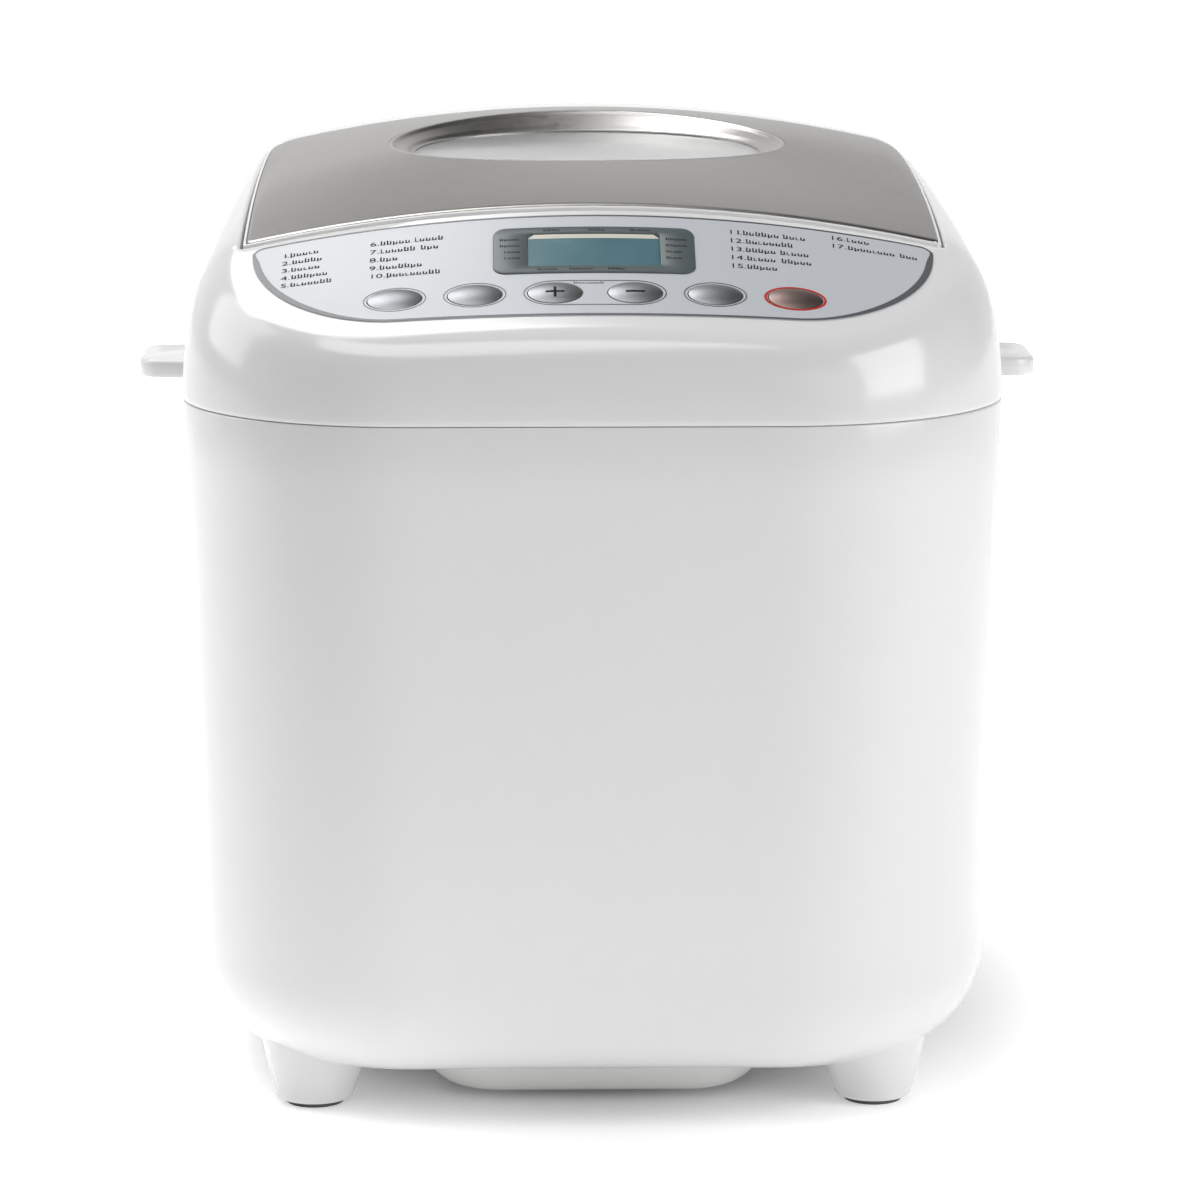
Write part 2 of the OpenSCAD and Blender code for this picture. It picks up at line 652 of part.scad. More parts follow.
// ---- hinge ----
module hinge_brackets() {
  color("silver") for (s = [-1, 1], e = [-1, 1]) translate([s * hinge_x + e * 7, 0, 0]) difference() {
    union() {
      translate([-1.2, hinge_y - 5, deck_z + deck_t]) cube([2.4, 10, hinge_z - deck_z - deck_t]);
      translate([-1.2, hinge_y, hinge_z]) rotate([0, 90, 0]) cylinder(r = 5, h = 2.4);
    }
    translate([-3, hinge_y, hinge_z]) rotate([0, 90, 0]) cylinder(r = pin_r, h = 6);
  }
}

module hinge_pins() {
  color("gray") for (s = [-1, 1]) translate([s * hinge_x - 9.5, hinge_y, hinge_z]) rotate([0, 90, 0]) {
    cylinder(r = pin_r, h = 19);
    translate([0, 0, -1]) cylinder(r = pin_r + 1.2, h = 1.1);
  }
}

module hinge_arms() {
  color("white") for (s = [-1, 1]) translate([s * hinge_x - 5, 0, 0]) difference() {
    union() {
      translate([0, hinge_y, hinge_z]) rotate([0, 90, 0]) cylinder(r = 6.3, h = 10);
      translate([0, 112, hinge_z + 0.5]) cube([10, hinge_y - 112, 5.8]);
      translate([0, 108, hinge_z + 0.5]) cube([10, 16, 13]);
    }
    translate([-1, hinge_y, hinge_z]) rotate([0, 90, 0]) cylinder(r = pin_r + run, h = 12);
  }
}

// ---- lid ----
function lid_edge_z(y) = lid_low_z + 21 * smooth(95, 124, y);

// frame under the metal skin, raised to the full height behind it
module lid_frame() {
  lid_r = 38;
  edge = ring(lid_w, lid_front, lid_rear, 1.5, lid_r, 4, 12);
  inner = ring(lid_w - 2.2, lid_front + 2.2, lid_rear - 2.2, 1, lid_r - 2, 4, 12);
  hole = [for (p = edge) on_ellipse(p, window_a + 2.2, window_b + 2.2)];
  steps = 8;
  rear = ring(lid_w, skin_rear + 0.8, lid_rear, 1.5, lid_r, 4, 8);
  rear_y = (skin_rear + lid_rear) / 2;
  function low(r) = [for (p = r) [p.x, p.y, lid_edge_z(p.y)]];
  function under(r, drop) = [for (p = r) [p.x, p.y, top_z(p.x, p.y) - drop]];
  function patch(drop) = [for (t = [0, 0.3, 0.6, 0.98])
    under(mix(rear, [for (p = rear) [0, rear_y]], t), drop)];
  color("white") {
    loop_loft(concat([low(edge)],
      [for (k = [0:steps]) under(mix(edge, hole, pow(k / steps, 1.5)), step_t)],
      [for (k = [steps:-1:0]) under(mix(inner, hole, pow(k / steps, 1.5)), step_t + frame_t)],
      [low(inner)]));
    sheet(patch(step_t + frame_t / 2), patch(0), true);
    for (x = [-lid_screw_x, lid_screw_x], y = lid_screw_ys) translate([x, y, 0]) difference() {
      translate([0, 0, liner_z + 1.5]) cylinder(r = 4, h = top_z(x, y) - liner_z - 4, $fn = 16);
      translate([0, 0, liner_z + 1]) cylinder(r = screw_r, h = 10, $fn = 16);
    }
  }
}

module lid_skin() {
  edge = ring(lid_w - 1.2, lid_front + 1, skin_rear, 1.5, 1.5, 1, 18);
  hole = [for (p = edge) on_ellipse(p, window_a + 1.9, window_b + 1.9)];
  steps = 6;
  function face(drop) = [for (k = [0:steps]) [for (p = mix(edge, hole, pow(k / steps, 1.5)))
    [p.x, p.y, top_z(p.x, p.y) - drop]]];
  color("silver") sheet(face(skin_t), face(0), false);
}

function pane_z(y) = glass_z + glass_slope * y;
module window_bezel() {
  circ = ring(60, -50, 50, 40, 40);
  function oval(k) = [for (p = circ) on_ellipse(p, window_a + k, window_b + k)];
  color("silver") loop_loft([
    [for (p = oval(1.1)) [p.x, p.y, top_z(p.x, p.y) - 0.9]],
    [for (p = oval(1.1)) [p.x, p.y, top_z(p.x, p.y)]],
    [for (p = oval(-0.4)) [p.x, p.y, top_z(p.x, p.y) - 0.1]],
    [for (p = oval(-6)) [p.x, p.y, pane_z(p.y) + 0.3]],
    [for (p = oval(-4.8)) [p.x, p.y, pane_z(p.y) + 0.3]],
    [for (p = oval(0.1)) [p.x, p.y, top_z(p.x, p.y) - 1.6]]]);
}

module window_glass() {
  color("lightcyan") translate([0, 0, glass_z]) rotate([atan(glass_slope), 0, 0])
    translate([0, 0, -3]) linear_extrude(3) ellipse(window_a - 2.6, window_b - 2.6);
}

module lid_liner() {
  y0 = oven_y - 106;
  y1 = oven_y + 104;
  rim = ring(100, y0, y1, 20, 34);
  well = ring(84, oven_y - 88, oven_y + 84, 24, 24);
  top = ring(70, oven_y - 74, oven_y + 66, 30, 30);
  pane = ring(46, oven_y - 46, oven_y + 38, 24, 24);
  color("silver") difference() {
    loop_loft([
      at_z(rim, liner_z), at_z(rim, liner_z + 1.2), at_z(mix(rim, well, 0.9), 246.4),
      at_z(mix(well, top, 0.3), 256), at_z(top, 262.2), at_z(pane, 262.2), at_z(pane, 261),
      at_z(top, 261), at_z(mix(well, top, 0.42), 255.4), at_z(well, liner_z)]);
    for (x = [-lid_screw_x, lid_screw_x], y = lid_screw_ys)
      translate([x, y, liner_z - 1]) cylinder(r = screw_r + 0.2, h = 5, $fn = 16);
  }
}

module liner_glass() {
  color("lightcyan") plate(52, oven_y - 52, oven_y + 44, 20, 262.4, 3);
}

module lid_screws() {
  color("gray") for (x = [-lid_screw_x, lid_screw_x], y = lid_screw_ys)
    screw(x, y, liner_z, true, 9, 1.2);
}

// ---- bread pan ----
module bread_pan() {
  function pan_ring(w, d, r, z) = at_z(ring(w, oven_y - d, oven_y + d, r, r), z);
  function hub(r, z) = [for (p = ring(40, -40, 40, 30, 30)) let (a = atan2(p.y, p.x))
    [r * cos(a), oven_y + r * sin(a), z]];
  color("darkslategray") loop_loft([
    hub(9.3, pan_z), pan_ring(pan_w - 12, pan_d - 13, 16, pan_z),
    pan_ring(pan_w - 7.4, pan_d - 8.4, 18, pan_z + 2),
    pan_ring(pan_w - 6, pan_d - 7, 20, pan_z + 6), pan_ring(pan_w, pan_d, 24, pan_top - 2),
    pan_ring(pan_w + 3, pan_d + 3, 26, pan_top - 2), pan_ring(pan_w + 3, pan_d + 3, 26, pan_top),
    pan_ring(pan_w - 1.2, pan_d - 1.2, 22.8, pan_top), pan_ring(pan_w - 7.4, pan_d - 8.4, 18.5, pan_z + 7),
    pan_ring(pan_w - 9, pan_d - 10, 16.5, pan_z + 3), pan_ring(pan_w - 13, pan_d - 14, 15, pan_z + 1.6),
    hub(9.3, pan_z + 1.6)]);
}

module pan_base() {
  color("gray") translate([0, oven_y, 0]) {
    difference() {
      translate([0, 0, seat_z + 0.1]) cylinder(r = 46, h = pan_z - seat_z - 0.2);
      translate([0, 0, seat_z - 1]) cylinder(r = 43.5, h = pan_z - seat_z - 1.6);
      translate([0, 0, seat_z]) cylinder(r = 9, h = 30);
    }
    difference() {
      translate([0, 0, 70.5]) cylinder(r = 9, h = 19.5);
      translate([0, 0, 70]) cylinder(r = shaft_r + run, h = 30);
    }
    for (s = [-1, 1]) translate([-4, s * (pan_d + 1) - 1, pan_top - 14]) cube([8, 2, 11]);
  }
  color("gray") for (s = [-1, 1]) translate([0, oven_y + s * (pan_d + 2), bail_z])
    rotate([s * -90, 0, 0]) cylinder(r = 2, h = 5.2);
}

module pan_handle() {
  bend = 12;
  color("silver") translate([0, oven_y, bail_z]) {
    for (s = [0, 1]) mirror([0, s, 0]) {
      difference() {
        union() {
          translate([0, bail_y - 1.2, 0]) rotate([-90, 0, 0]) cylinder(r = 4.4, h = 2.4);
          translate([3, bail_y, 0]) rotate([0, 90, 0]) cylinder(r = bail_r, h = bail_x - bend - 3);
        }
        translate([0, bail_y - 3, 0]) rotate([-90, 0, 0]) cylinder(r = 2 + run, h = 6);
      }
      translate([bail_x - bend, bail_y - bend, 0])
        rotate_extrude(angle = 90) translate([bend, 0]) circle(bail_r);
      translate([bail_x, 0, 0]) rotate([-90, 0, 0]) cylinder(r = bail_r, h = bail_y - bend);
    }
    translate([bail_x, -24, 0]) rotate([-90, 0, 0]) cylinder(r = 4, h = 48);
  }
}

module pan_shaft() {
  color("silver") translate([0, oven_y, 0]) difference() {
    translate([0, 0, 66]) cylinder(r = shaft_r, h = 54);
    translate([shaft_r - 0.8, -5, 92]) cube([5, 10, 40]);
  }
}

module pan_coupler() {
  color("gray") translate([0, oven_y, 66]) difference() {
    union() {
      translate([-1.8, -9, 0]) cube([3.6, 18, 3.8]);
      cylinder(r = 4.4, h = 3.8);
    }
    translate([0, 0, -1]) cylinder(r = shaft_r, h = 6);
  }
}

module shaft_seal() {
  color("black") translate([0, oven_y, 90]) difference() {
    cylinder(r = 8, h = 1.6);
    translate([0, 0, -1]) cylinder(r = shaft_r + 0.1, h = 4);
  }
}

module kneading_paddle() {
  bore_r = shaft_r + run;
  color("dimgray") translate([0, oven_y, 92]) {
    difference() {
      union() {
        cylinder(r1 = 11, r2 = 8, h = 24);
        translate([0, 0, 24]) cylinder(r1 = 8, r2 = 5, h = 6);
      }
      translate([0, 0, -1]) linear_extrude(30) difference() {
        circle(bore_r);
        translate([shaft_r - 0.7, -6]) square([6, 12]);
      }
    }
    difference() {
      translate([5, -3, 0.3]) linear_extrude(44)
        polygon([[0, 0], [0, 6], [16, 7.5], [30, 4], [33, 1.5], [30, 0.6], [14, 0]]);
      translate([0, -10, 22]) rotate([0, -38, 0]) cube([60, 30, 60]);
    }
  }
}

// ---- fasteners ----
module base_screws() {
  color("gray") for (x = [-post_x, post_x], y = post_ys) screw(x, y, base_z, true, 9, 1.8);
}

module deck_screws() {
  color("gray") for (x = [-deck_screw_x, deck_screw_x], y = deck_screw_ys)
    screw(x, y, deck_z + deck_t, false, 8, 1.5);
}

body_shell();
top_housing();
base_plate();
belt_cover();
feet();
foot_pads();
side_grips();
panel_overlay();
lcd_bezel();
lcd_glass();
lcd_module();
control_board();
tact_switches();
inner_deck();
oven_chamber();
pan_seat();
pan_clips();
heater_element();
heater_terminals();
temperature_sensor();
thermal_fuse();
chassis_plate();
main_bearing();
motor_can();
run_capacitor();
power_board();
cord_inlet();
hinge_brackets();
hinge_pins();
base_screws();
deck_screws();
drive_belt();
lid_frame();
lid_skin();
window_bezel();
window_glass();
lid_liner();
liner_glass();
hinge_arms();
lid_screws();
button_menu();
button_weight();
button_plus();
button_minus();
button_colour();
button_start();
bread_pan();
pan_base();
pan_handle();
pan_shaft();
pan_coupler();
shaft_seal();
kneading_paddle();
main_shaft();
large_pulley();
drive_coupler();
motor_rotor();
motor_pulley();
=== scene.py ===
"""Bread machine: detailed shells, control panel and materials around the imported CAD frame."""
import math

import bmesh
import bpy
import numpy as np
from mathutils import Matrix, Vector, geometry


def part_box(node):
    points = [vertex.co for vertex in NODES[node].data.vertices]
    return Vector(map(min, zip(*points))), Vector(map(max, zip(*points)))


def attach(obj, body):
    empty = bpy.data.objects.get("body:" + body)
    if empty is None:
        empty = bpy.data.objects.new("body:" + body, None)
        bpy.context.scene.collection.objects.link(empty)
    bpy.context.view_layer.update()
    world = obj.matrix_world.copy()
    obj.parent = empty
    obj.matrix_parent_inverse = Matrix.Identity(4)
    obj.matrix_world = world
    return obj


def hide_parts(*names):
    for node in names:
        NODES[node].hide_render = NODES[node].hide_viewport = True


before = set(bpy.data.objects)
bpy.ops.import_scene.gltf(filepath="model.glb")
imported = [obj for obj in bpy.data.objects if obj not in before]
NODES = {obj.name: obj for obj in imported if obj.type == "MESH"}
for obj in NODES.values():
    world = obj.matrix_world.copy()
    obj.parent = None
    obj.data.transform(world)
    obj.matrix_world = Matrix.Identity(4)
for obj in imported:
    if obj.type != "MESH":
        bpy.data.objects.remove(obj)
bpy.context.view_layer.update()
MM = 0.001
BUTTONS = ("button_menu", "button_weight", "button_plus", "button_minus", "button_colour", "button_start")


def box_mm(node):
    """Lowest and highest corner of a CAD node, in millimetres."""
    lo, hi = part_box(node)
    return np.array(lo) / MM, np.array(hi) / MM


# ---------------------------------------------------------------- driving sizes, in millimetres
BODY_LO, BODY_HI = box_mm("body_shell")
HALF_W, HALF_D = BODY_HI[0], BODY_HI[1]
SEAM_Z = box_mm("top_housing")[0][2]
BASE_Z = BODY_LO[2]
LID_LOW_Z = box_mm("lid_frame")[0][2]
DECK_TOP = box_mm("inner_deck")[1][2]
CORNER_R = 70.0
BOTTOM_R = 31.0
DRAFT = 0.0206
WALL = 2.5
WALL_BEND = 0.0041
CREST_Z = 289.8
CREST_Y = 50.0
PANEL_TILT = math.radians(28)
PANEL_TOP = (-107.0, 272.0)
LEDGE_Z = 266.0
MOUTH = (106.8, -105.0, 133.8)
SKIN_REAR = box_mm("lid_skin")[1][1]
WINDOW = (63.0, 52.5)
PITCH = 23.7
BUTTON_Y = -144.5
LCD_Y = -125.0
BUTTON = (8.0, 5.2)
OVEN_Y = 14.0


# ---------------------------------------------------------------- shape of the upper surface
def smooth(a, b, v):
    """0 at a to 1 at b, with soft ends."""
    t = np.clip((v - a) / (b - a), 0, 1)
    return t * t * (3 - 2 * t)


def smin(a, b, k):
    """Smaller of a and b, blended over a width of k."""
    return np.minimum(a, b) - np.maximum(k - np.abs(a - b), 0) ** 2 / (4 * k)


def inset(x, y):
    """Distance inward from the seam outline."""
    qx = np.abs(x) - (HALF_W - CORNER_R)
    qy = np.abs(y) - (HALF_D - CORNER_R)
    return CORNER_R - np.minimum(np.maximum(qx, qy), 0) - np.hypot(np.maximum(qx, 0), np.maximum(qy, 0))


def bow(y):
    """Sideways curvature of the upper surface."""
    return 0.00045 + 0.0006 * np.clip((y + 157) / 53, 0, 1) + 0.00008 * smooth(-103, 0, y)


def roof(x, y):
    """Height of the panel slope and the lid arch, before they are rounded into the walls."""
    ridge = np.minimum(PANEL_TOP[1] + (y - PANEL_TOP[0]) * math.tan(PANEL_TILT),
                       CREST_Z - 0.00066 * (y - CREST_Y) ** 2)
    return ridge - bow(y) * x * x


def skin(x, y, d0=0.0, drop=0.0):
    """Height of the upper surface; d0 and drop move it inward and down."""
    rise = np.sqrt(np.maximum(inset(x, y) - d0, 0) / WALL_BEND)
    return SEAM_Z + smin(rise, roof(x, y) - drop - SEAM_Z, 24 - 4 * smooth(-150, -110, y))


def ledge(y, z):
    """Height z, brought down to the ledge behind the lid."""
    return z - smooth(95, MOUTH[2] - 1, y) * np.maximum(z - LEDGE_Z, 0)


def lift(points, up=0.0):
    """Plan points put on the upper surface, raised by up."""
    p = np.asarray(points, float)
    return np.column_stack([p[:, 0], p[:, 1], skin(p[:, 0], p[:, 1]) + up])


# ---------------------------------------------------------------- outlines
def ring(w, y0, y1, rf, rr, arc=20, side=16):
    """Rounded rectangle, counter-clockwise, with its own radii at the front and the rear."""
    def corner(cx, cy, r, a0):
        a = np.radians(a0 + 90 * np.arange(arc + 1) / arc)
        return np.column_stack([cx + r * np.cos(a), cy + r * np.sin(a)])

    def straight(p, q):
        t = (np.arange(1, side) / side)[:, None]
        return np.array(p) + (np.array(q) - np.array(p)) * t

    return np.vstack([
        corner(w - rr, y1 - rr, rr, 0), straight((w - rr, y1), (rr - w, y1)),
        corner(rr - w, y1 - rr, rr, 90), straight((-w, y1 - rr), (-w, y0 + rf)),
        corner(rf - w, y0 + rf, rf, 180), straight((rf - w, y0), (w - rf, y0)),
        corner(w - rf, y0 + rf, rf, 270), straight((w, y0 + rf), (w, y1 - rr))])


def oval_like(points, a, b, cy=0.0):
    """The points of a ring moved radially on to an ellipse."""
    t = np.arctan2((points[:, 1] - cy) / b, points[:, 0] / a)
    return np.column_stack([a * np.cos(t), cy + b * np.sin(t)])


def oval(a, b, n=72, cx=0.0, cy=0.0):
    t = 2 * math.pi * np.arange(n) / n
    return np.column_stack([cx + a * np.cos(t), cy + b * np.sin(t)])


def at_z(points, z):
    return np.column_stack([points, np.broadcast_to(z, len(points))])


# ---------------------------------------------------------------- mesh builders
def add_mesh(name, verts, faces, body, material, slot, replaces=(), sharp=35.0):
    """A piece from points in millimetres, riding on a body."""
    mesh = bpy.data.meshes.new(name)
    mesh.from_pydata([tuple(v) for v in np.asarray(verts) * MM], [], [tuple(f) for f in faces])
    obj = bpy.data.objects.new(name, mesh)
    bpy.context.scene.collection.objects.link(obj)
    tidy(obj, sharp)
    mesh.materials.append(material)
    if replaces:
        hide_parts(*replaces)
    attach(obj, body)
    return obj


def tidy(obj, sharp):
    """Merges doubles, points the faces outward and smooths all but the sharp edges."""
    bm = bmesh.new()
    bm.from_mesh(obj.data)
    bmesh.ops.remove_doubles(bm, verts=bm.verts, dist=1e-6)
    bmesh.ops.dissolve_degenerate(bm, edges=bm.edges, dist=1e-7)
    bmesh.ops.recalc_face_normals(bm, faces=bm.faces)
    bm.to_mesh(obj.data)
    bm.free()
    obj.data.shade_smooth()
    obj.data.set_sharp_from_angle(angle=math.radians(sharp))


def bridge(n, a, b):
    return [(a * n + i, a * n + (i + 1) % n, b * n + (i + 1) % n, b * n + i) for i in range(n)]


def loft(name, rings, body, material, closed=False, caps=False, **more):
    """Skins a list of equal rings; closed joins the last to the first, caps fills both ends."""
    n = len(rings[0])
    m = len(rings)
    faces = [f for k in range(m if closed else m - 1) for f in bridge(n, k, (k + 1) % m)]
    if caps:
        faces += [tuple(reversed(range(n))), tuple((m - 1) * n + i for i in range(n))]
    return add_mesh(name, np.vstack(rings), faces, body, material, **more)


def cut(obj, cutters, sharp=35.0):
    """Takes closed cutters, given as (verts, faces) in millimetres, out of a piece."""
    verts, faces = [], []
    for v, f in cutters:
        faces += [tuple(i + len(verts) for i in face) for face in f]
        verts += [tuple(np.asarray(p) * MM) for p in v]
    mesh = bpy.data.meshes.new("cutter")
    mesh.from_pydata(verts, [], faces)
    bm = bmesh.new()
    bm.from_mesh(mesh)
    bmesh.ops.recalc_face_normals(bm, faces=bm.faces)
    bm.to_mesh(mesh)
    bm.free()
    tool = bpy.data.objects.new("cutter", mesh)
    bpy.context.scene.collection.objects.link(tool)
    mod = obj.modifiers.new("cut", "BOOLEAN")
    mod.operation = "DIFFERENCE"
    mod.solver = "EXACT"
    mod.object = tool
    depsgraph = bpy.context.evaluated_depsgraph_get()
    result = bpy.data.meshes.new_from_object(obj.evaluated_get(depsgraph))
    obj.modifiers.clear()
    obj.data = result
    bpy.data.objects.remove(tool)
    obj.data.shade_smooth()
    obj.data.set_sharp_from_angle(angle=math.radians(sharp))


def prism(low, high):
    """Closed prism between two equal rings of 3D points, as (verts, faces)."""
    n = len(low)
    faces = bridge(n, 0, 1) + [tuple(reversed(range(n))), tuple(range(n, 2 * n))]
    return np.vstack([low, high]), faces


def soften(obj, width):
    """Small rounded edges on a carried-over CAD part."""
    mod = obj.modifiers.new("edge", "BEVEL")
    mod.width = width * MM
    mod.segments = 2
    mod.limit_method = "ANGLE"
    mod.angle_limit = math.radians(40)


# ---------------------------------------------------------------- materials
def new_material(name):
    mat = bpy.data.materials.new(name)
    mat.use_nodes = True
    nodes = mat.node_tree.nodes
    return mat, nodes, mat.node_tree.links, nodes["Principled BSDF"]


def noise(nodes, links, scale, detail=3.0, stretch=(1, 1, 1), rough=0.5):
    coord = nodes.new("ShaderNodeTexCoord")
    mapping = nodes.new("ShaderNodeMapping")
    mapping.inputs["Scale"].default_value = stretch
    tex = nodes.new("ShaderNodeTexNoise")
    tex.inputs["Scale"].default_value = scale
    tex.inputs["Detail"].default_value = detail
    tex.inputs["Roughness"].default_value = rough
    links.new(coord.outputs["Object"], mapping.inputs["Vector"])
    links.new(mapping.outputs["Vector"], tex.inputs["Vector"])
    return tex


def spread(nodes, links, source, low, high):
    """Maps a 0..1 value to low..high."""
    span = nodes.new("ShaderNodeMapRange")
    span.inputs["To Min"].default_value = low
    span.inputs["To Max"].default_value = high
    links.new(source, span.inputs["Value"])
    return span.outputs["Result"]


def tint(nodes, links, source, dark, light):
    mix = nodes.new("ShaderNodeMix")
    mix.data_type = "RGBA"
    mix.inputs["A"].default_value = (*dark, 1)
    mix.inputs["B"].default_value = (*light, 1)
    links.new(source, mix.inputs["Factor"])
    return mix.outputs["Result"]


def bump(nodes, links, bsdf, source, strength, distance):
    node = nodes.new("ShaderNodeBump")
    node.inputs["Strength"].default_value = strength
    node.inputs["Distance"].default_value = distance
    links.new(source, node.inputs["Height"])
    links.new(node.outputs["Normal"], bsdf.inputs["Normal"])


def plastic(name, colour, rough=0.2, coat=0.0, grain=900.0, depth=0.02, vary=0.02, fleck=0.0, shine=0.5):
    """Moulded plastic: faint colour drift, uneven gloss and fine texture of the mould."""
    mat, nodes, links, bsdf = new_material(name)
    drift = noise(nodes, links, 14, 2)
    fine = noise(nodes, links, grain, 4)
    low = [max(c - vary, 0) for c in colour]
    high = [min(c + vary, 1) for c in colour]
    links.new(tint(nodes, links, drift.outputs["Fac"], low, high), bsdf.inputs["Base Color"])
    gloss = spread(nodes, links, fine.outputs["Fac"], rough * 0.8, rough * 1.25 + fleck)
    links.new(gloss, bsdf.inputs["Roughness"])
    bsdf.inputs["IOR"].default_value = 1.5
    bsdf.inputs["Specular IOR Level"].default_value = shine
    bsdf.inputs["Coat Weight"].default_value = coat
    bsdf.inputs["Coat Roughness"].default_value = 0.14
    bump(nodes, links, bsdf, fine.outputs["Fac"], 0.25, depth * MM)
    return mat


def metal(name, colour, rough=0.3, brushed=None, vary=0.03, depth=0.01, aniso=0.0, scale=60.0):
    """Metal with fine lines along one axis (brushed), or a cast or rolled grain."""
    mat, nodes, links, bsdf = new_material(name)
    stretch = {None: (1, 1, 1), "x": (0.02, 1, 1), "y": (1, 0.02, 1), "z": (1, 1, 0.02)}[brushed]
    lines = noise(nodes, links, scale * (22 if brushed else 8), 5, stretch, 0.65)
    cloud = noise(nodes, links, scale * 0.35, 2, tuple(max(s, 0.15) for s in stretch))
    low = [max(c - vary, 0) for c in colour]
    high = [min(c + vary, 1) for c in colour]
    links.new(tint(nodes, links, cloud.outputs["Fac"], low, high), bsdf.inputs["Base Color"])
    links.new(spread(nodes, links, lines.outputs["Fac"], rough * 0.7, rough * 1.35), bsdf.inputs["Roughness"])
    bsdf.inputs["Metallic"].default_value = 1.0
    bsdf.inputs["Anisotropic"].default_value = aniso
    bump(nodes, links, bsdf, lines.outputs["Fac"], 0.3, depth * MM)
    return mat


def glass(name, colour, rough=0.03, through=1.0):
    mat, nodes, links, bsdf = new_material(name)
    smear = noise(nodes, links, 30, 3)
    bsdf.inputs["Base Color"].default_value = (*colour, 1)
    links.new(spread(nodes, links, smear.outputs["Fac"], rough * 0.6, rough * 1.6), bsdf.inputs["Roughness"])
    bsdf.inputs["Transmission Weight"].default_value = through
    bsdf.inputs["IOR"].default_value = 1.5
    bump(nodes, links, bsdf, smear.outputs["Fac"], 0.05, 0.02 * MM)
    return mat


WHITE = plastic("white gloss plastic", (0.74, 0.74, 0.74), 0.16, 0.35, 700, 0.004, 0.006)
LID_WHITE = plastic("lid white plastic", (0.78, 0.78, 0.78), 0.18, 0.3, 700, 0.004, 0.006)
BASE_WHITE = plastic("base white plastic", (0.70, 0.70, 0.69), 0.4, 0.0, 1500, 0.03, 0.01)
DECK_WHITE = plastic("deck plastic", (0.68, 0.68, 0.67), 0.35, 0.0, 1200, 0.02, 0.01)
RUBBER = plastic("foot rubber", (0.10, 0.10, 0.10), 0.75, 0.0, 1600, 0.06, 0.015)
FILM = plastic("silver panel film", (0.51, 0.53, 0.56), 0.3, 0.25, 2200, 0.004, 0.02)
# Dark ink: print on the button outlines; on the panel's edge band it is also painted shade of the recessed
# step.
INK_AND_STEP_SHADE = plastic("panel border ink and painted step shade", (0.10, 0.104, 0.11), 0.3, 0.2, 2200, 0.004, 0.015)
INK = plastic("print ink", (0.018, 0.018, 0.02), 0.7, 0.0, 2200, 0.002, 0.008, 0.0, 0.12)
# Belt cover white is lighter than the body white: painted light, making up for the shadow under the body.
COVER_WHITE_PAINTED_LIGHT = plastic("belt cover plastic lightened as painted light", (0.86, 0.86, 0.85), 0.3, 0.0, 1200, 0.01, 0.01)
RED = plastic("start ring red", (0.46, 0.02, 0.012), 0.5, 0.0, 2200, 0.004, 0.012, 0.0, 0.25)
BEZEL = plastic("display surround", (0.075, 0.095, 0.10), 0.34, 0.0, 2200, 0.004, 0.012)
BLACK = plastic("black plastic", (0.03, 0.03, 0.03), 0.4, 0.0, 1500, 0.03, 0.01)
INLET = plastic("inlet plastic", (0.05, 0.05, 0.05), 0.35, 0.0, 1500, 0.03, 0.01)
BELT = plastic("belt rubber", (0.02, 0.02, 0.02), 0.7, 0.0, 1500, 0.06, 0.008)
CERAMIC = plastic("terminal ceramic", (0.72, 0.68, 0.58), 0.6, 0.0, 900, 0.04, 0.03)
PULLEY = plastic("pulley plastic", (0.66, 0.62, 0.52), 0.45, 0.0, 900, 0.03, 0.02)
BOARD = plastic("circuit board lacquer", (0.02, 0.13, 0.06), 0.3, 0.3, 600, 0.05, 0.02)
NONSTICK = plastic("non-stick coating", (0.085, 0.085, 0.09), 0.42, 0.0, 2600, 0.05, 0.012, 0.1)
SKIN = metal("brushed lid skin", (0.36, 0.35, 0.335), 0.3, "x", 0.035, 0.006, 0.5)
CHROME = metal("polished window steel", (0.46, 0.45, 0.44), 0.36, None, 0.02, 0.002)
LINER = metal("liner sheet", (0.62, 0.62, 0.61), 0.32, "y", 0.03, 0.01)
SHEET = metal("oven sheet steel", (0.74, 0.74, 0.73), 0.48, "z", 0.04, 0.02)
SPRING = metal("spring steel", (0.60, 0.60, 0.60), 0.24, "x", 0.03, 0.006)
SHAFT = metal("turned steel", (0.62, 0.62, 0.63), 0.2, "x", 0.03, 0.004)
SCREW = metal("screw steel", (0.5, 0.5, 0.5), 0.3, None, 0.05, 0.01)
MOTOR = metal("motor steel", (0.42, 0.42, 0.43), 0.34, "z", 0.04, 0.01)
CAST = metal("cast aluminium", (0.58, 0.58, 0.59), 0.42, None, 0.05, 0.06, 0.0, 150)
BRASS = metal("bearing bronze", (0.58, 0.42, 0.18), 0.3, None, 0.05, 0.01)
HEATER = metal("heater sheath", (0.34, 0.34, 0.31), 0.5, None, 0.05, 0.02)
BUTTON_PAINT = metal("button metal paint", (0.27, 0.28, 0.29), 0.42, None, 0.02, 0.004, 0.0, 200)
START = metal("start button paint", (0.25, 0.185, 0.17), 0.42, None, 0.012, 0.003, 0.0, 200)
STRIP = plastic("display strip", (0.62, 0.60, 0.52), 0.3, 0.3, 2200, 0.004, 0.05)
PANE = glass("window glass", (0.93, 0.95, 0.94), 0.16, 0.75)


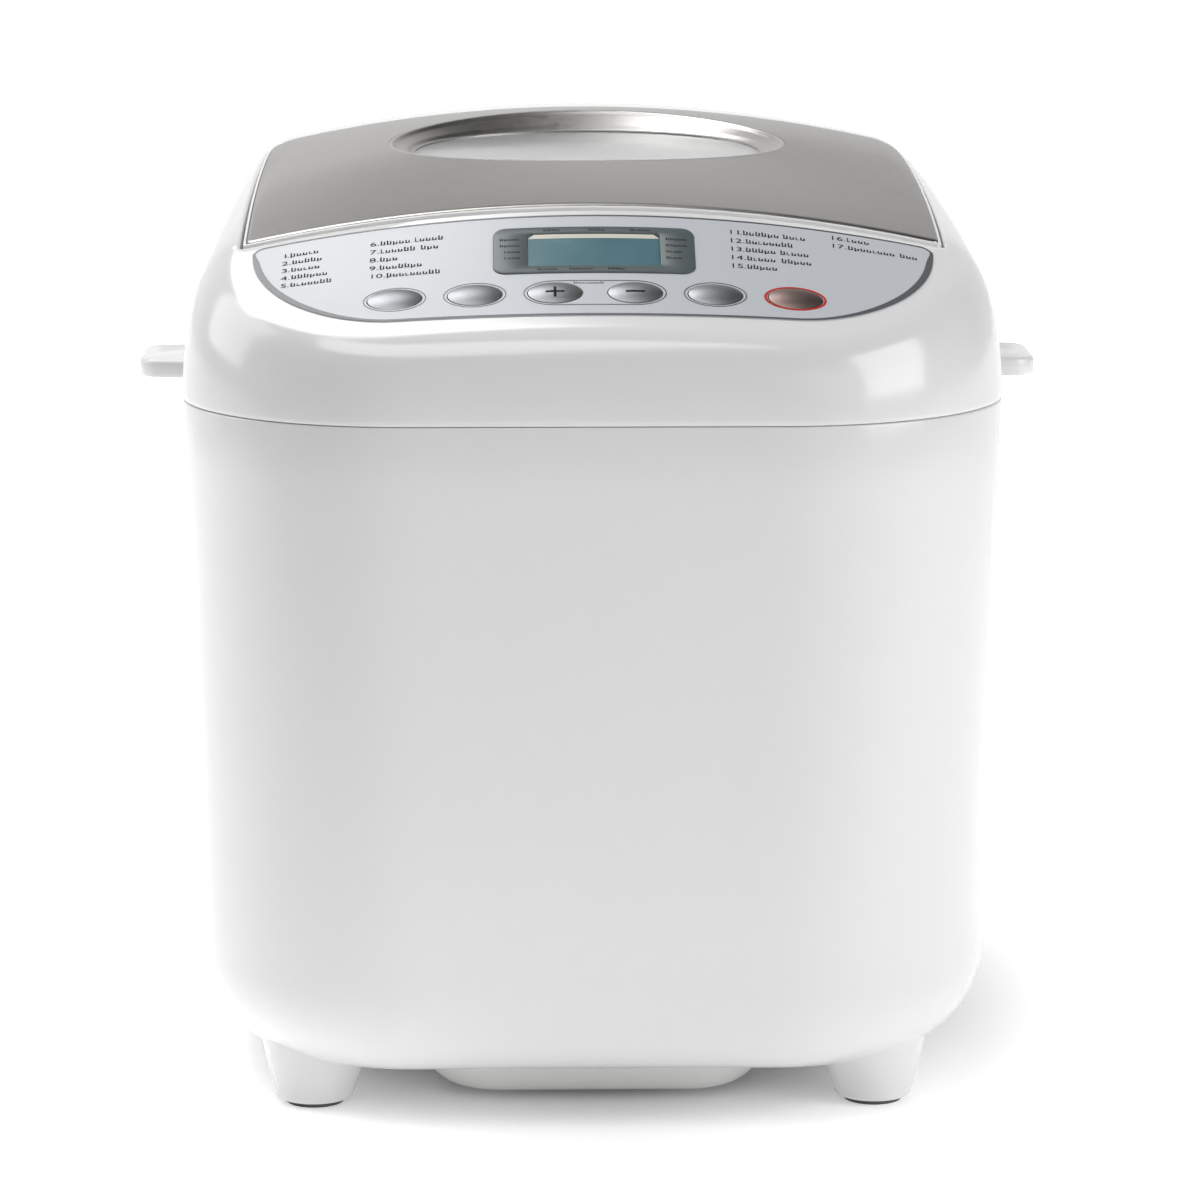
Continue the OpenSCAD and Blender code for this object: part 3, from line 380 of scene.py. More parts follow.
def screen_material():
    """Display: blue-green liquid crystal, lit a little unevenly."""
    mat, nodes, links, bsdf = new_material("liquid crystal display")
    cloud = noise(nodes, links, 60, 2)
    colour = tint(nodes, links, cloud.outputs["Fac"], (0.075, 0.165, 0.195), (0.105, 0.21, 0.245))
    links.new(colour, bsdf.inputs["Base Color"])
    bsdf.inputs["Roughness"].default_value = 0.12
    bsdf.inputs["Coat Weight"].default_value = 0.6
    return mat


SCREEN = screen_material()


# ---------------------------------------------------------------- lower body
def body_outline(d, arc=20):
    return ring(HALF_W - d, d - HALF_D, HALF_D - d, CORNER_R - d, CORNER_R - d, arc)


def wall_inset(z):
    round_part = 0.0
    if z < BASE_Z + BOTTOM_R:
        round_part = BOTTOM_R - math.sqrt(max(BOTTOM_R ** 2 - (BASE_Z + BOTTOM_R - z) ** 2, 0))
    return DRAFT * (SEAM_Z - z) + round_part


def make_body_shell():
    floor_inset = 40.0
    lip = 0.6
    turns = 20
    top = BODY_HI[2]
    levels = [BASE_Z + BOTTOM_R * (1 - math.cos(math.pi / 2 * i / turns)) for i in range(turns + 1)]
    levels += list(np.linspace(BASE_Z + BOTTOM_R, top - lip, 10)[1:])
    outer = [at_z(body_outline(floor_inset), BASE_Z)]
    outer += [at_z(body_outline(wall_inset(z)), z) for z in levels]
    outer += [at_z(body_outline(wall_inset(top) + lip * (1 - math.cos(a))), top - lip + lip * math.sin(a))
              for a in np.radians([30, 60, 90])]
    inner = [at_z(body_outline(WALL + wall_inset(top)), top)]
    inner += [at_z(body_outline(wall_inset(z) + WALL), z) for z in reversed(levels) if z > BASE_Z + 8]
    inner += [at_z(body_outline(k), BASE_Z + WALL) for k in (floor_inset - 8, floor_inset)]
    shell = loft("body_shell_detail", outer + inner, "housing", WHITE, closed=True,
                 slot="white_plastic", replaces=("body_shell",))
    cutters = []
    vent_half, vent_pitch, vent_low, vent_high = 1.6, 8.5, 112, 158
    through = (0, 24, 0)
    vent_r = vent_half - 0.01
    for i in range(-5, 6):
        slot = ring(vent_half, vent_low - vent_half, vent_high + vent_half, vent_r, vent_r, 6, 2)
        low = np.column_stack([slot[:, 0] + vent_pitch * i, np.full(len(slot), HALF_D - 12), slot[:, 1]])
        cutters.append(prism(low, low + through))
    gland_lo, gland_hi = box_mm("cord_inlet")
    centre = (gland_lo + gland_hi) / 2
    gland_r = 9.3
    hole = oval(gland_r, gland_r, 48, centre[0], centre[2])
    low = np.column_stack([hole[:, 0], np.full(len(hole), HALF_D - 14), hole[:, 1]])
    cutters.append(prism(low, low + through))
    cut(shell, cutters)


def panel_frame(x, y):
    """Origin and axes of the plane that touches the panel at x, y."""
    tilt = math.atan(2 * float(bow(np.array(y))) * x)
    c, s = math.cos(PANEL_TILT), math.sin(PANEL_TILT)
    ct, st = math.cos(tilt), math.sin(tilt)
    origin = np.array([x, y, float(roof(np.array(x), np.array(y)))])
    u = np.array([ct, 0, -st])
    v = np.array([st * s, c, ct * s])
    w = np.array([st * c, -s, ct * c])
    return origin, u, v, w


def on_panel(points, x, y, w=0.0):
    """2D points of a panel frame as 3D points at height w above its plane."""
    origin, au, av, aw = panel_frame(x, y)
    p = np.asarray(points, float)
    return origin + p[:, :1] * au + p[:, 1:2] * av + np.asarray(w).reshape(-1, 1) * aw


def button_x(i):
    return (i - 2.5) * PITCH


def panel_cutters():
    """Cutters for the button holes and the display opening of the top housing."""
    low, high, gap = -9.0, 5.0, 0.35
    hole = oval(BUTTON[0] + gap, BUTTON[1] + gap, 64)
    cutters = [prism(*(on_panel(hole, button_x(i), BUTTON_Y, [w]) for w in (low, high))) for i in range(6)]
    hole = ring(27.5, -10.5, 10.5, 1.5, 1.5, 5, 4)
    cutters.append(prism(*(on_panel(hole, 0, LCD_Y, [w]) for w in (low, high))))
    return cutters


def make_top_housing():
    steps = 56
    lip = 0.6
    outline = body_outline(0)
    inner_line = body_outline(WALL)
    mouth = ring(MOUTH[0], MOUTH[1], MOUTH[2], 2, 36)
    mouth_in = ring(MOUTH[0] + 2, MOUTH[1] - 2, MOUTH[2] + 2, 4, 38)
    rings = [at_z(body_outline(lip * (1 - math.sin(a))), SEAM_Z + 0.15 + lip * (1 - math.cos(a)))
             for a in np.radians([0, 30, 60])]
    edge = 1.0
    mouth_edge = ring(MOUTH[0] + edge, MOUTH[1] - edge, MOUTH[2] + edge, 3, 37)
    for k in range(steps + 1):
        p = outline + (mouth_edge - outline) * (k / steps) ** 2
        z = np.maximum(ledge(p[:, 1], skin(p[:, 0], p[:, 1])), SEAM_Z + lip)
        rings.append(np.column_stack([p, z]))
    base = rings[-1]
    for a in np.radians([30, 60, 90]):
        p = mouth_edge + (mouth - mouth_edge) * math.sin(a)
        rings.append(np.column_stack([p, base[:, 2] - edge * (1 - math.cos(a))]))
    floor = DECK_TOP + 0.2
    rings += [at_z(mouth, floor), at_z(mouth_in, floor)]
    for k in range(16, -1, -1):
        p = inner_line + (mouth_in - inner_line) * (k / 16) ** 2
        over = ledge(p[:, 1], skin(p[:, 0], p[:, 1]))
        z = np.minimum(skin(p[:, 0], p[:, 1], WALL, 2.6), over - 2.3)
        rings.append(np.column_stack([p, np.maximum(z, SEAM_Z + 0.15)]))
    crown = loft("top_housing_detail", rings, "housing", WHITE, closed=True,
                 slot="white_upper", replaces=("top_housing",), sharp=40)
    cutters = panel_cutters()
    arm_x = box_mm("hinge_arms")[1][0] - 5
    for s in (-1, 1):
        slot = ring(7, 122, 154, 6.9, 6.9, 8, 2)
        slot[:, 0] += s * arm_x
        cutters.append(prism(at_z(slot, 248), at_z(slot, 275)))
    cut(crown, cutters, 40)


def make_belt_cover():
    """Shallow tub with a curved wall, open at the top."""
    lo, hi = box_mm("belt_cover")
    low, high, thick = lo[2], hi[2], 2.2
    base = ring(44, -124, 80, 15, 15, 12, 8)
    rim = ring(55, -131, 92, 21, 21, 12, 8)
    rim_in = ring(53, -129, 90, 19, 19, 12, 8)
    middle = base * 0.1 + (0, -20)
    rings = [at_z(middle, low)]
    for t in np.linspace(0, 1, 9):
        rings.append(at_z(base + (rim - base) * t, low + (high - low) * (0.25 * t + 0.75 * t * t)))
    rings += [at_z(rim_in, high), at_z(base * 0.98, low + thick), at_z(middle, low + thick)]
    # The lightened white of the cover is painted light.
    loft("belt_cover_detail", rings, "housing", COVER_WHITE_PAINTED_LIGHT, closed=True, slot="white_plastic",
         replaces=("belt_cover",))


def make_feet():
    """Tapered feet whose tops follow the body's rounded corner."""
    pad_r = 8.8
    cx, cy = box_mm("foot_pads")[1][:2] - pad_r
    corner = (HALF_W - CORNER_R, HALF_D - CORNER_R)
    waist_r, waist_z, flare, bury = 12.2, 3.4, 3.9, 0.4
    n = 64
    verts, faces = [], []
    for sx, sy in ((1, 1), (-1, 1), (-1, -1), (1, -1)):
        rings = []
        for r, z in ((10.2, 1.9), (11.2, 1.75), (11.8, 2.3), (waist_r, waist_z)):
            rings.append(at_z(oval(r, r, n, cx, cy), z))
        for t in np.linspace(0.1, 1, 10):
            r = waist_r + flare * t
            p = oval(r, r, n, cx, cy)
            d = CORNER_R - np.hypot(np.maximum(p[:, 0] - corner[0], 0), np.maximum(p[:, 1] - corner[1], 0))
            bottom = np.array([corner_height(v) for v in d])
            rings.append(np.column_stack([p, waist_z + (bottom - waist_z + bury) * t]))
        block = np.vstack(rings)
        block[:, 0] *= sx
        block[:, 1] *= sy
        base = len(verts)
        verts += list(block)
        for k in range(len(rings) - 1):
            faces += [tuple(base + i for i in f) for f in bridge(n, k, k + 1)]
        faces.append(tuple(base + i for i in reversed(range(n))))
        faces.append(tuple(base + (len(rings) - 1) * n + i for i in range(n)))
    add_mesh("feet_detail", verts, faces, "housing", WHITE, slot="white_plastic", replaces=("feet",), sharp=50)


def corner_height(d):
    """Height of the underside where the inset from the seam outline is d."""
    low, high = BASE_Z, BASE_Z + BOTTOM_R + 30
    for _ in range(30):
        mid = (low + high) / 2
        if wall_inset(mid) > d:
            low = mid
        else:
            high = mid
    return low


def make_grips():
    """Side grips: rounded plates, hollow underneath."""
    lo, hi = box_mm("side_grips")
    tip, half, top = hi
    low = lo[2]
    root = HALF_W - 0.6
    edge = 1.4
    for s, name in ((1, "right"), (-1, "left")):
        def outline(k):
            r = 8 - k
            line = ring(half - k, root, tip - k, 0.05, r, 12, 6)
            return np.column_stack([line[:, 1], line[:, 0]])
        underside = ((3.6, 3.4), (3.2, 0.3), (2.4, 0), (0.8, 0), (0.25, 0.3), (0, 1))
        rings = [at_z(outline(k), low + z) for k, z in underside]
        rings.append(at_z(outline(0), top - edge))
        rings += [at_z(outline(edge * (1 - math.cos(a))), top - edge + edge * math.sin(a))
                  for a in np.radians([30, 60, 90])]
        rings = [np.column_stack([s * r[:, 0], r[:, 1], r[:, 2]]) for r in rings]
        more = {"replaces": ("side_grips",)} if s == 1 else {}
        loft("side_grip_" + name, rings, "housing", WHITE, caps=True, slot="white_plastic", sharp=50, **more)


make_body_shell()
make_top_housing()
make_belt_cover()
make_feet()
make_grips()


# ---------------------------------------------------------------- lid
def lid_low(y):
    """Height of the lid's lower edge, which rises towards the hinge."""
    return LID_LOW_Z + 21 * smooth(95, 124, y)


def make_lid_frame():
    steps = 60
    edge_r = 0.7
    step = 0.85
    lid_w, front, rear = MOUTH[0] - 0.8, MOUTH[1] + 0.8, MOUTH[2] - 0.8
    edge = ring(lid_w, front, rear, 1.5, 38)
    inner = ring(lid_w - 2.2, front + 2.2, rear - 2.2, 1.2, 36)
    hole = oval_like(edge, WINDOW[0] + 2.2, WINDOW[1] + 2.2)

    def under_skin(p):
        """1 where the metal skin lies on the frame, 0 outside it."""
        x_in = smooth(lid_w - 0.9, lid_w - 1.15, np.abs(p[:, 0]))
        y_in = smooth(front + 0.75, front + 0.95, p[:, 1]) * smooth(SKIN_REAR + 0.5, SKIN_REAR + 0.2, p[:, 1])
        return x_in * y_in

    def top(p):
        return np.column_stack([p, skin(p[:, 0], p[:, 1]) - step * under_skin(p)])

    rings = [np.column_stack([edge, lid_low(edge[:, 1])])]
    rounded = ring(lid_w - edge_r, front + edge_r, rear - edge_r, 0.9, 37.3)
    rounded_z = skin(rounded[:, 0], rounded[:, 1]) - 0.02
    for a in np.radians([0, 30, 60, 90]):
        p = edge + (rounded - edge) * (1 - math.cos(a))
        rings.append(np.column_stack([p, rounded_z - edge_r * (1 - math.sin(a))]))
    rows = [ring(lid_w - k, front + k, rear - k, max(1.5 - k, 0.4), 38 - k) for k in (0.85, 1.0, 1.2, 1.5)]
    rings += [top(p) for p in rows]
    last = rows[-1]
    rings += [top(last + (hole - last) * k / steps) for k in range(1, steps + 1)]
    for k in range(14, -1, -1):
        p = inner + (hole - inner) * k / 14
        rings.append(np.column_stack([p, skin(p[:, 0], p[:, 1]) - 3.2]))
    rings.append(np.column_stack([inner, lid_low(inner[:, 1])]))
    loft("lid_frame_detail", rings, "lid", LID_WHITE, closed=True, slot="lid_plastic",
         replaces=("lid_frame",), sharp=40)


def make_lid_skin():
    steps = 60
    lid_w, front = MOUTH[0] - 2.0, MOUTH[1] + 1.8
    edge = ring(lid_w, front, SKIN_REAR, 1.5, 1.5, 6, 60)
    hole = oval_like(edge, WINDOW[0] + 1.2, WINDOW[1] + 1.2)
    thick = 0.7
    rings = []
    for k, dz in ((0.0, -thick), (0.0, -0.25), (0.08, -0.08), (0.25, 0.0)):
        p = ring(lid_w - k, front + k, SKIN_REAR - k, 1.5 - k, 1.5 - k, 6, 60)
        rings.append(lift(p, dz))
    start = rings[-1][:, :2]
    rings += [lift(start + (hole - start) * k / steps) for k in range(1, steps + 1)]
    rings.append(lift(hole, -thick))
    rings += [lift(start + (hole - start) * k / 10, -thick) for k in range(9, 0, -1)]
    loft("lid_skin_detail", rings, "lid", SKIN, closed=True, slot="brushed_skin",
         replaces=("lid_skin",), sharp=40)


def pane_z(y):
    """Height of the slightly tilted window pane."""
    return 280.5 + 0.06 * y


def make_window():
    """Rolled rim, polished recess wall and a flat, slightly tilted pane."""
    n = 128

    def o(k):
        return oval(WINDOW[0] + k, WINDOW[1] + k, n)

    def high(k, dz):
        p = o(k)
        return np.column_stack([p, skin(p[:, 0], p[:, 1]) + dz])

    def deep(k, dz):
        p = o(k)
        return np.column_stack([p, pane_z(p[:, 1]) + dz])

    rim = ((1.15, -1.0), (1.15, -0.12), (0.95, 0.0), (0.5, 0.0), (0.1, -0.06), (-0.3, -0.25), (-0.6, -0.6))
    seat = ((-5.6, 0.7), (-6.2, 0.35), (-7.4, 0.3), (-7.4, 0.05), (-4.6, 0.05))
    wall_top, wall_low = high(-0.9, -1.1), deep(-5.2, 1.3)
    rings = [high(k, dz) for k, dz in rim]
    rings += [wall_top + (wall_low - wall_top) * t for t in np.linspace(0, 1, 7)]
    rings += [deep(k, dz) for k, dz in seat]
    rings.append(high(0.1, -2.2))
    loft("window_bezel_detail", rings, "lid", CHROME, closed=True, slot="window_steel",
         replaces=("window_bezel",), sharp=50)
    a, b = WINDOW[0] - 2.6, WINDOW[1] - 2.6
    outlines = [(oval(a, b, n), -2.9), (oval(a, b, n), -0.3), (oval(a - 0.3, b - 0.3, n), 0.0)]
    outlines += [(oval(a * t, b * t, n), 0.0) for t in (0.93, 0.8, 0.6, 0.4, 0.2, 0.02)]
    rings = [np.column_stack([p, pane_z(p[:, 1]) + dz]) for p, dz in outlines]
    loft("window_pane", rings, "lid", PANE, caps=True, slot="window_glass",
         replaces=("window_glass",), sharp=50)


def make_liner():
    """Pressed inner lid with a raised well and an opening for its pane."""
    base = box_mm("lid_liner")[0][2]

    def line(w, d0, d1, r0, r1):
        return ring(w, OVEN_Y - d0, OVEN_Y + d1, r0, r1, 14, 10)

    profile = [(100, 106, 104, 20, 34, 0), (100, 106, 104, 20, 34, 1.2), (99, 105, 103, 19.5, 33.5, 1.5),
               (88, 92, 88, 25, 26, 1.6), (85.5, 89.5, 85.5, 25, 25, 2.4), (84, 88, 84, 24.5, 24.5, 4.5),
               (80, 84, 79, 25, 25, 12), (77, 81, 74, 26, 26, 15.4), (73, 77, 69, 28, 28, 17),
               (46, 46, 38, 24, 24, 17.2), (46, 46, 38, 24, 24, 16.0), (73, 76, 68, 28, 28, 15.9),
               (77, 80, 73, 26, 26, 14.2), (80, 83.5, 78.5, 25, 25, 11.2), (84, 87.4, 83.4, 24.5, 24.5, 3.6),
               (86, 90, 86, 25, 25, 0.4), (88.5, 93, 89, 25, 26, 0)]
    rings = [at_z(line(*p[:5]), base + p[5]) for p in profile]
    loft("lid_liner_detail", rings, "lid", LINER, closed=True, slot="liner_steel",
         replaces=("lid_liner",), sharp=50)


make_lid_frame()
make_lid_skin()
make_window()
make_liner()


# ---------------------------------------------------------------- control panel
COS_TILT = math.cos(PANEL_TILT)
FILM_UP = 0.3


def panel_points(points, x, y, up):
    """2D points measured on the slope about x, y, laid on the panel surface at height up."""
    p = np.asarray(points, float)
    return lift(np.column_stack([x + p[:, 0], y + p[:, 1] * COS_TILT]), up)


def film_outline(k=0.0, arc=24, side=24):
    return ring(102.7 - k, -154.7 + k, -108.4 - k, 44 - k, 4 - min(k, 2), arc, side)


def inside(point, loop):
    x, y = point
    a, b = loop, np.roll(loop, -1, axis=0)
    crossing = (a[:, 1] > y) != (b[:, 1] > y)
    with np.errstate(divide="ignore", invalid="ignore"):
        at = a[:, 0] + (y - a[:, 1]) * (b[:, 0] - a[:, 0]) / (b[:, 1] - a[:, 1])
    return bool(np.count_nonzero(crossing & (x < at)) % 2)


def sheet_with_holes(name, outline, holes, up, thick, grid, material, **more):
    """A thin plate on the upper surface with openings, triangulated on an even grid."""
    lo, hi = outline.min(0), outline.max(0)
    fill = [(x, y) for x in np.arange(lo[0] + grid, hi[0], grid) for y in np.arange(lo[1] + grid, hi[1], grid)
            if inside((x, y), outline) and not any(inside((x, y), h) for h in holes)]
    loops = [outline] + list(holes)
    points, edges = [], []
    for loop in loops:
        start = len(points)
        points += [Vector(p) for p in loop]
        edges += [(start + i, start + (i + 1) % len(loop)) for i in range(len(loop))]
    points += [Vector(p) for p in fill]
    verts, _, faces = geometry.delaunay_2d_cdt(points, edges, [], 1, 1e-5)[:3]
    verts = np.array([tuple(v) for v in verts])
    kept = [tuple(f) for f in faces if not any(inside(verts[list(f)].mean(0), h) for h in holes)]
    n = len(verts)
    rim = {}
    for f in kept:
        for a, b in zip(f, f[1:] + f[:1]):
            rim[(a, b)] = rim.get((a, b), 0) + 1
    border = [(a, b) for (a, b) in rim if (b, a) not in rim]
    both = np.vstack([lift(verts, up), lift(verts, up - thick)])
    solid = kept + [tuple(n + i for i in reversed(f)) for f in kept]
    solid += [(a, n + a, n + b, b) for a, b in border]
    add_mesh(name, both, solid, "housing", material, **more)


def slope_oval(a, b, x, n=96):
    """Ellipse measured on the slope, in plan, on the line of the buttons."""
    p = oval(a, b, n)
    return np.column_stack([x + p[:, 0], BUTTON_Y + p[:, 1] * COS_TILT])


def make_overlay():
    gap = 0.3
    holes = [slope_oval(BUTTON[0] + gap, BUTTON[1] + gap, button_x(i), 64) for i in range(6)]
    holes.append(ring(26, -9 * COS_TILT, 9 * COS_TILT, 1.5, 1.5, 5, 6) + (0, LCD_Y))
    sheet_with_holes("panel_film", film_outline(), holes, FILM_UP, 0.28, 3.0, FILM,
                     slot="panel_film", replaces=("panel_overlay",), sharp=50)


def band(name, outer, inner, up, material):
    """A flat printed line between two closed outlines on the upper surface."""
    thick = 0.12
    rings = [lift(outer, up - thick), lift(outer, up), lift(inner, up), lift(inner, up - thick)]
    loft(name, rings, "housing", material, closed=True, slot="panel_film", sharp=50)


def make_border_and_step_shade():
    """Dark edge band: a printed edge line, thin along the top and the bottom, widened round the sides as
    painted shade of the panel's recessed step.
    """
    outer = film_outline(0.05)
    core = np.array([0.0, -128.0])
    side = smooth(60, 96, np.abs(outer[:, 0]))
    top = smooth(-118, -109.5, outer[:, 1])
    # The extra width round the sides is painted shade of the step.
    width = 0.75 + 1.25 * side * (1 - top) - 0.15 * top
    tangent = np.roll(outer, -1, axis=0) - np.roll(outer, 1, axis=0)
    normal = np.column_stack([-tangent[:, 1], tangent[:, 0]])
    normal /= np.linalg.norm(normal, axis=1)[:, None]
    flip = np.sign(((core - outer) * normal).sum(1))
    inner = outer + normal * (flip * width)[:, None]
    band("panel_border_and_step_shade", outer, inner, FILM_UP + 0.1, INK_AND_STEP_SHADE)


def make_button_rings():
    """Printed lines round the buttons: ovals, a red one at the start button, one round plus and minus."""
    a, b = BUTTON[0] + 1.35, BUTTON[1] + 1.15
    line = 0.35
    for i in (0, 1, 4):
        x = button_x(i)
        band("button_outline_%d" % (i + 1), slope_oval(a, b, x), slope_oval(a - line, b - line, x),
             FILM_UP + 0.08, INK_AND_STEP_SHADE)
    x = button_x(5)
    band("start_outline", slope_oval(a - 0.1, b - 0.05, x), slope_oval(a - 0.85, b - 0.75, x),
         FILM_UP + 0.1, RED)

    def capsule(k):
        half = np.linspace(0, math.pi, 49)
        left = np.column_stack([button_x(2) - (a - k) * np.sin(half), (b - k) * np.cos(half)])
        right = np.column_stack([button_x(3) + (a - k) * np.sin(half), -(b - k) * np.cos(half)])
        mid = np.linspace(0, 1, 14)[1:-1]
        low = np.column_stack([button_x(2) + PITCH * mid, np.full(len(mid), k - b)])
        high = np.column_stack([button_x(3) - PITCH * mid, np.full(len(mid), b - k)])
        p = np.vstack([left, low, right, high])
        return np.column_stack([p[:, 0], BUTTON_Y + p[:, 1] * COS_TILT])

    band("plus_minus_outline", capsule(0), capsule(line), FILM_UP + 0.08, INK_AND_STEP_SHADE)


def stamp(name, shapes, body, material, slot="panel_film"):
    """Joins flat printed shapes, each (3D points, faces), into one piece."""
    verts, faces = [], []
    for v, f in shapes:
        faces += [tuple(i + len(verts) for i in face) for face in f]
        verts += list(v)
    add_mesh(name, verts, faces, body, material, slot)


def bar(x0, x1, y0, y1, up):
    """Flat bar between plan coordinates, laid on the upper surface."""
    return lift([(x0, y0), (x1, y0), (x0, y1), (x1, y1)], up), [(0, 1, 3, 2)]


def figure(text, x, y, size, up):
    """Digits laid on the panel with their lower left corner at x, y in plan."""
    curve = bpy.data.curves.new("figure", "FONT")
    curve.body = text
    curve.size = size
    curve.resolution_u = 4
    obj = bpy.data.objects.new("figure", curve)
    bpy.context.scene.collection.objects.link(obj)
    mesh = bpy.data.meshes.new_from_object(obj)
    p = np.array([tuple(v.co)[:2] for v in mesh.vertices])
    faces = [tuple(f.vertices) for f in mesh.polygons]
    bpy.data.objects.remove(obj)
    bpy.data.meshes.remove(mesh)
    widen = 1.25
    plan = np.column_stack([x + p[:, 0] * widen, y + p[:, 1] * COS_TILT])
    return (lift(plan, up), faces), widen * p[:, 0].max()


def word(x, y, letters, high, step, up, seed):
    """A made-up word: a run of small blocks, some tall, some short."""
    shapes = []
    for i in range(letters):
        pick = (seed * 7 + i * 5) % 9
        tall = high if i == 0 or pick in (2, 6) else high * 0.68
        wide = step * (0.52 if pick == 4 else 0.74)
        bottom = y - (high * 0.22 if pick == 7 else 0)
        shapes.append(bar(x, x + wide * 0.32, bottom, y + tall, up))
        shapes.append(bar(x + wide * 0.3, x + wide, y, y + high * 0.16, up))
        if pick != 4:
            shapes.append(bar(x + wide * 0.68, x + wide, y + high * 0.1, y + tall * 0.8, up))
        x += wide + step * 0.26
    return shapes


def make_program_list():
    """Numbered program list: real figures, with made-up words beside them."""
    columns = ((-93.6, -116.4, 1, ((5,), (5,), (5,), (6,), (7,))),
               (-67.2, -117.0, 6, ((5, 5), (6, 3), (3,), (7,), (9,))),
               (40.4, -115.2, 11, ((6, 4), (8,), (5, 5), (5, 5), (5,))),
               (71.2, -112.8, 16, ((4,), (8, 3))))
    pitch, size, up = 4.05, 3.4, FILM_UP + 0.06
    shapes = []
    for x, y, first, rows in columns:
        for row, words in enumerate(rows):
            at = y - row * pitch
            digits, wide = figure(str(first + row), x, at, size, up)
            shapes.append(digits)
            at_x = x + wide + 0.4
            shapes.append(bar(at_x, at_x + 0.35, at, at + 0.35, up))
            at_x += 0.9
            for k, letters in enumerate(words):
                shapes += word(at_x, at, letters, 2.1, 1.85, up, first + row + k)
                at_x += letters * 1.78 + 1.4
    stamp("program_list", shapes, "housing", INK)


def make_display():
    """Display surround, recessed window, screen and the labels round it."""
    def line(w, h, r, up):
        return panel_points(ring(w, -h, h, r, r, 10, 14), 0, LCD_Y, up)

    top = 0.75
    profile = ((30.2, 12, 4, 0.32), (30.2, 12, 4, top - 0.25), (30.12, 11.92, 3.95, top - 0.08),
               (29.9, 11.7, 3.8, top), (20.1, 8.8, 1.2, top), (19.9, 8.6, 1.1, top - 0.08),
               (19.8, 8.5, 1.0, top - 0.3), (19.8, 8.5, 1.0, -0.4), (25.5, 8.9, 1.0, -0.4),
               (25.5, 8.9, 1.0, 0.3))
    loft("display_surround", [line(*p) for p in profile], "housing", BEZEL, closed=True, slot="dark_bezel",
         replaces=("lcd_bezel",), sharp=50)
    flat = ring(19.75, -8.45, 8.45, 0.9, 0.9, 6, 10)
    levels = ((1, -0.3), (1, 0.15), (0.5, 0.15), (0.02, 0.15))
    rings = [panel_points(flat * k, 0, LCD_Y, level) for k, level in levels]
    loft("display_screen", rings, "housing", SCREEN, slot="display", replaces=("lcd_glass",), caps=True)
    n = 15
    xs = np.linspace(-1, 1, n)
    low = panel_points(np.column_stack([xs * 19.7, np.full(n, 6.6)]), 0, LCD_Y, 0.2)
    high = panel_points(np.column_stack([xs * 18.0, np.full(n, 8.4)]), 0, LCD_Y, 0.42)
    strip = [(i, i + 1, n + 1 + i, n + i) for i in range(n - 1)]
    add_mesh("display_strip", np.vstack([low, high]), strip, "housing", STRIP, "display")
    up = top + 0.05
    shapes = []
    for row, letters in ((5.2, 5), (1.9, 5), (-1.4, 4), (-4.7, 4)):
        shapes += word(-21.4 - letters * 1.35, LCD_Y + row * COS_TILT, letters, 1.15, 1.3, up, letters + 3)
        shapes += word(21.6, LCD_Y + row * COS_TILT, letters, 1.15, 1.3, up, letters + 1)
    for x, row, letters in ((-15, 9.6, 4), (-1.5, 9.6, 4), (11, 9.6, 5),
                            (-17, -10.9, 5), (-7.5, -10.9, 6), (4, -10.9, 4)):
        shapes += word(x, LCD_Y + row * COS_TILT, letters, 1.0, 1.3, up, letters)
    stamp("display_labels", shapes, "housing", INK, slot="dark_bezel")
    stamp("timer_label", word(-6.2, BUTTON_Y + 4.6 * COS_TILT, 7, 0.9, 1.35, FILM_UP + 0.06, 3), "housing", INK)


def make_buttons():
    """Domed caps with a skirt below the panel, and their signs."""
    a, b = BUTTON
    edge_w, rise, power, print_up = 0.45, 1.05, 2.4, 0.04
    dome = (0.0, 0.03, 0.08, 0.18, 0.3, 0.44, 0.6, 0.75, 0.88, 0.97)
    for i, node in enumerate(BUTTONS):
        def level(grow, shrink, w):
            return on_panel(oval((a + grow) * shrink, (b + grow) * shrink, 64), button_x(i), BUTTON_Y, [w])

        rings = [level(1.3, 1, -5.3), level(1.3, 1, -3.6), level(0, 1, -3.5), level(0, 1, 0.35)]
        rings += [level(0, 1 - t, edge_w + rise * (1 - (1 - t) ** power)) for t in dome]
        loft(node + "_cap", rings, node, START if node == "button_start" else BUTTON_PAINT, caps=True,
             slot="button_metal", replaces=(node,), sharp=45)

    def sign(i, x0, x1, y0, y1):
        """Bar printed on the dome of cap i, split along its length so that it follows the dome."""
        steps = 7
        if x1 - x0 > y1 - y0:
            xs = np.linspace(x0, x1, steps)
            sides = [np.column_stack([xs, np.full(steps, y)]) for y in (y0, y1)]
        else:
            ys = np.linspace(y0, y1, steps)
            sides = [np.column_stack([np.full(steps, x), ys]) for x in (x1, x0)]
        p = np.vstack(sides)
        w = edge_w + rise * (1 - np.hypot(p[:, 0] / a, p[:, 1] / b) ** power) + print_up
        faces = [(k, k + 1, steps + k + 1, steps + k) for k in range(steps - 1)]
        return on_panel(p, button_x(i), BUTTON_Y, w), faces

    y, stroke, half_x, half_y = -0.7, 0.42, 2.8, 2.4
    plus = [sign(2, -half_x, half_x, y - stroke, y + stroke), sign(2, -stroke, stroke, y + stroke, y + half_y),
            sign(2, -stroke, stroke, y - half_y, y - stroke)]
    minus = [sign(3, -half_x, half_x, y - stroke, y + stroke)]
    stamp("plus_sign", plus, "button_plus", INK, "button_metal")
    stamp("minus_sign", minus, "button_minus", INK, "button_metal")


make_overlay()
make_border_and_step_shade()
make_button_rings()
make_program_list()
make_display()
make_buttons()


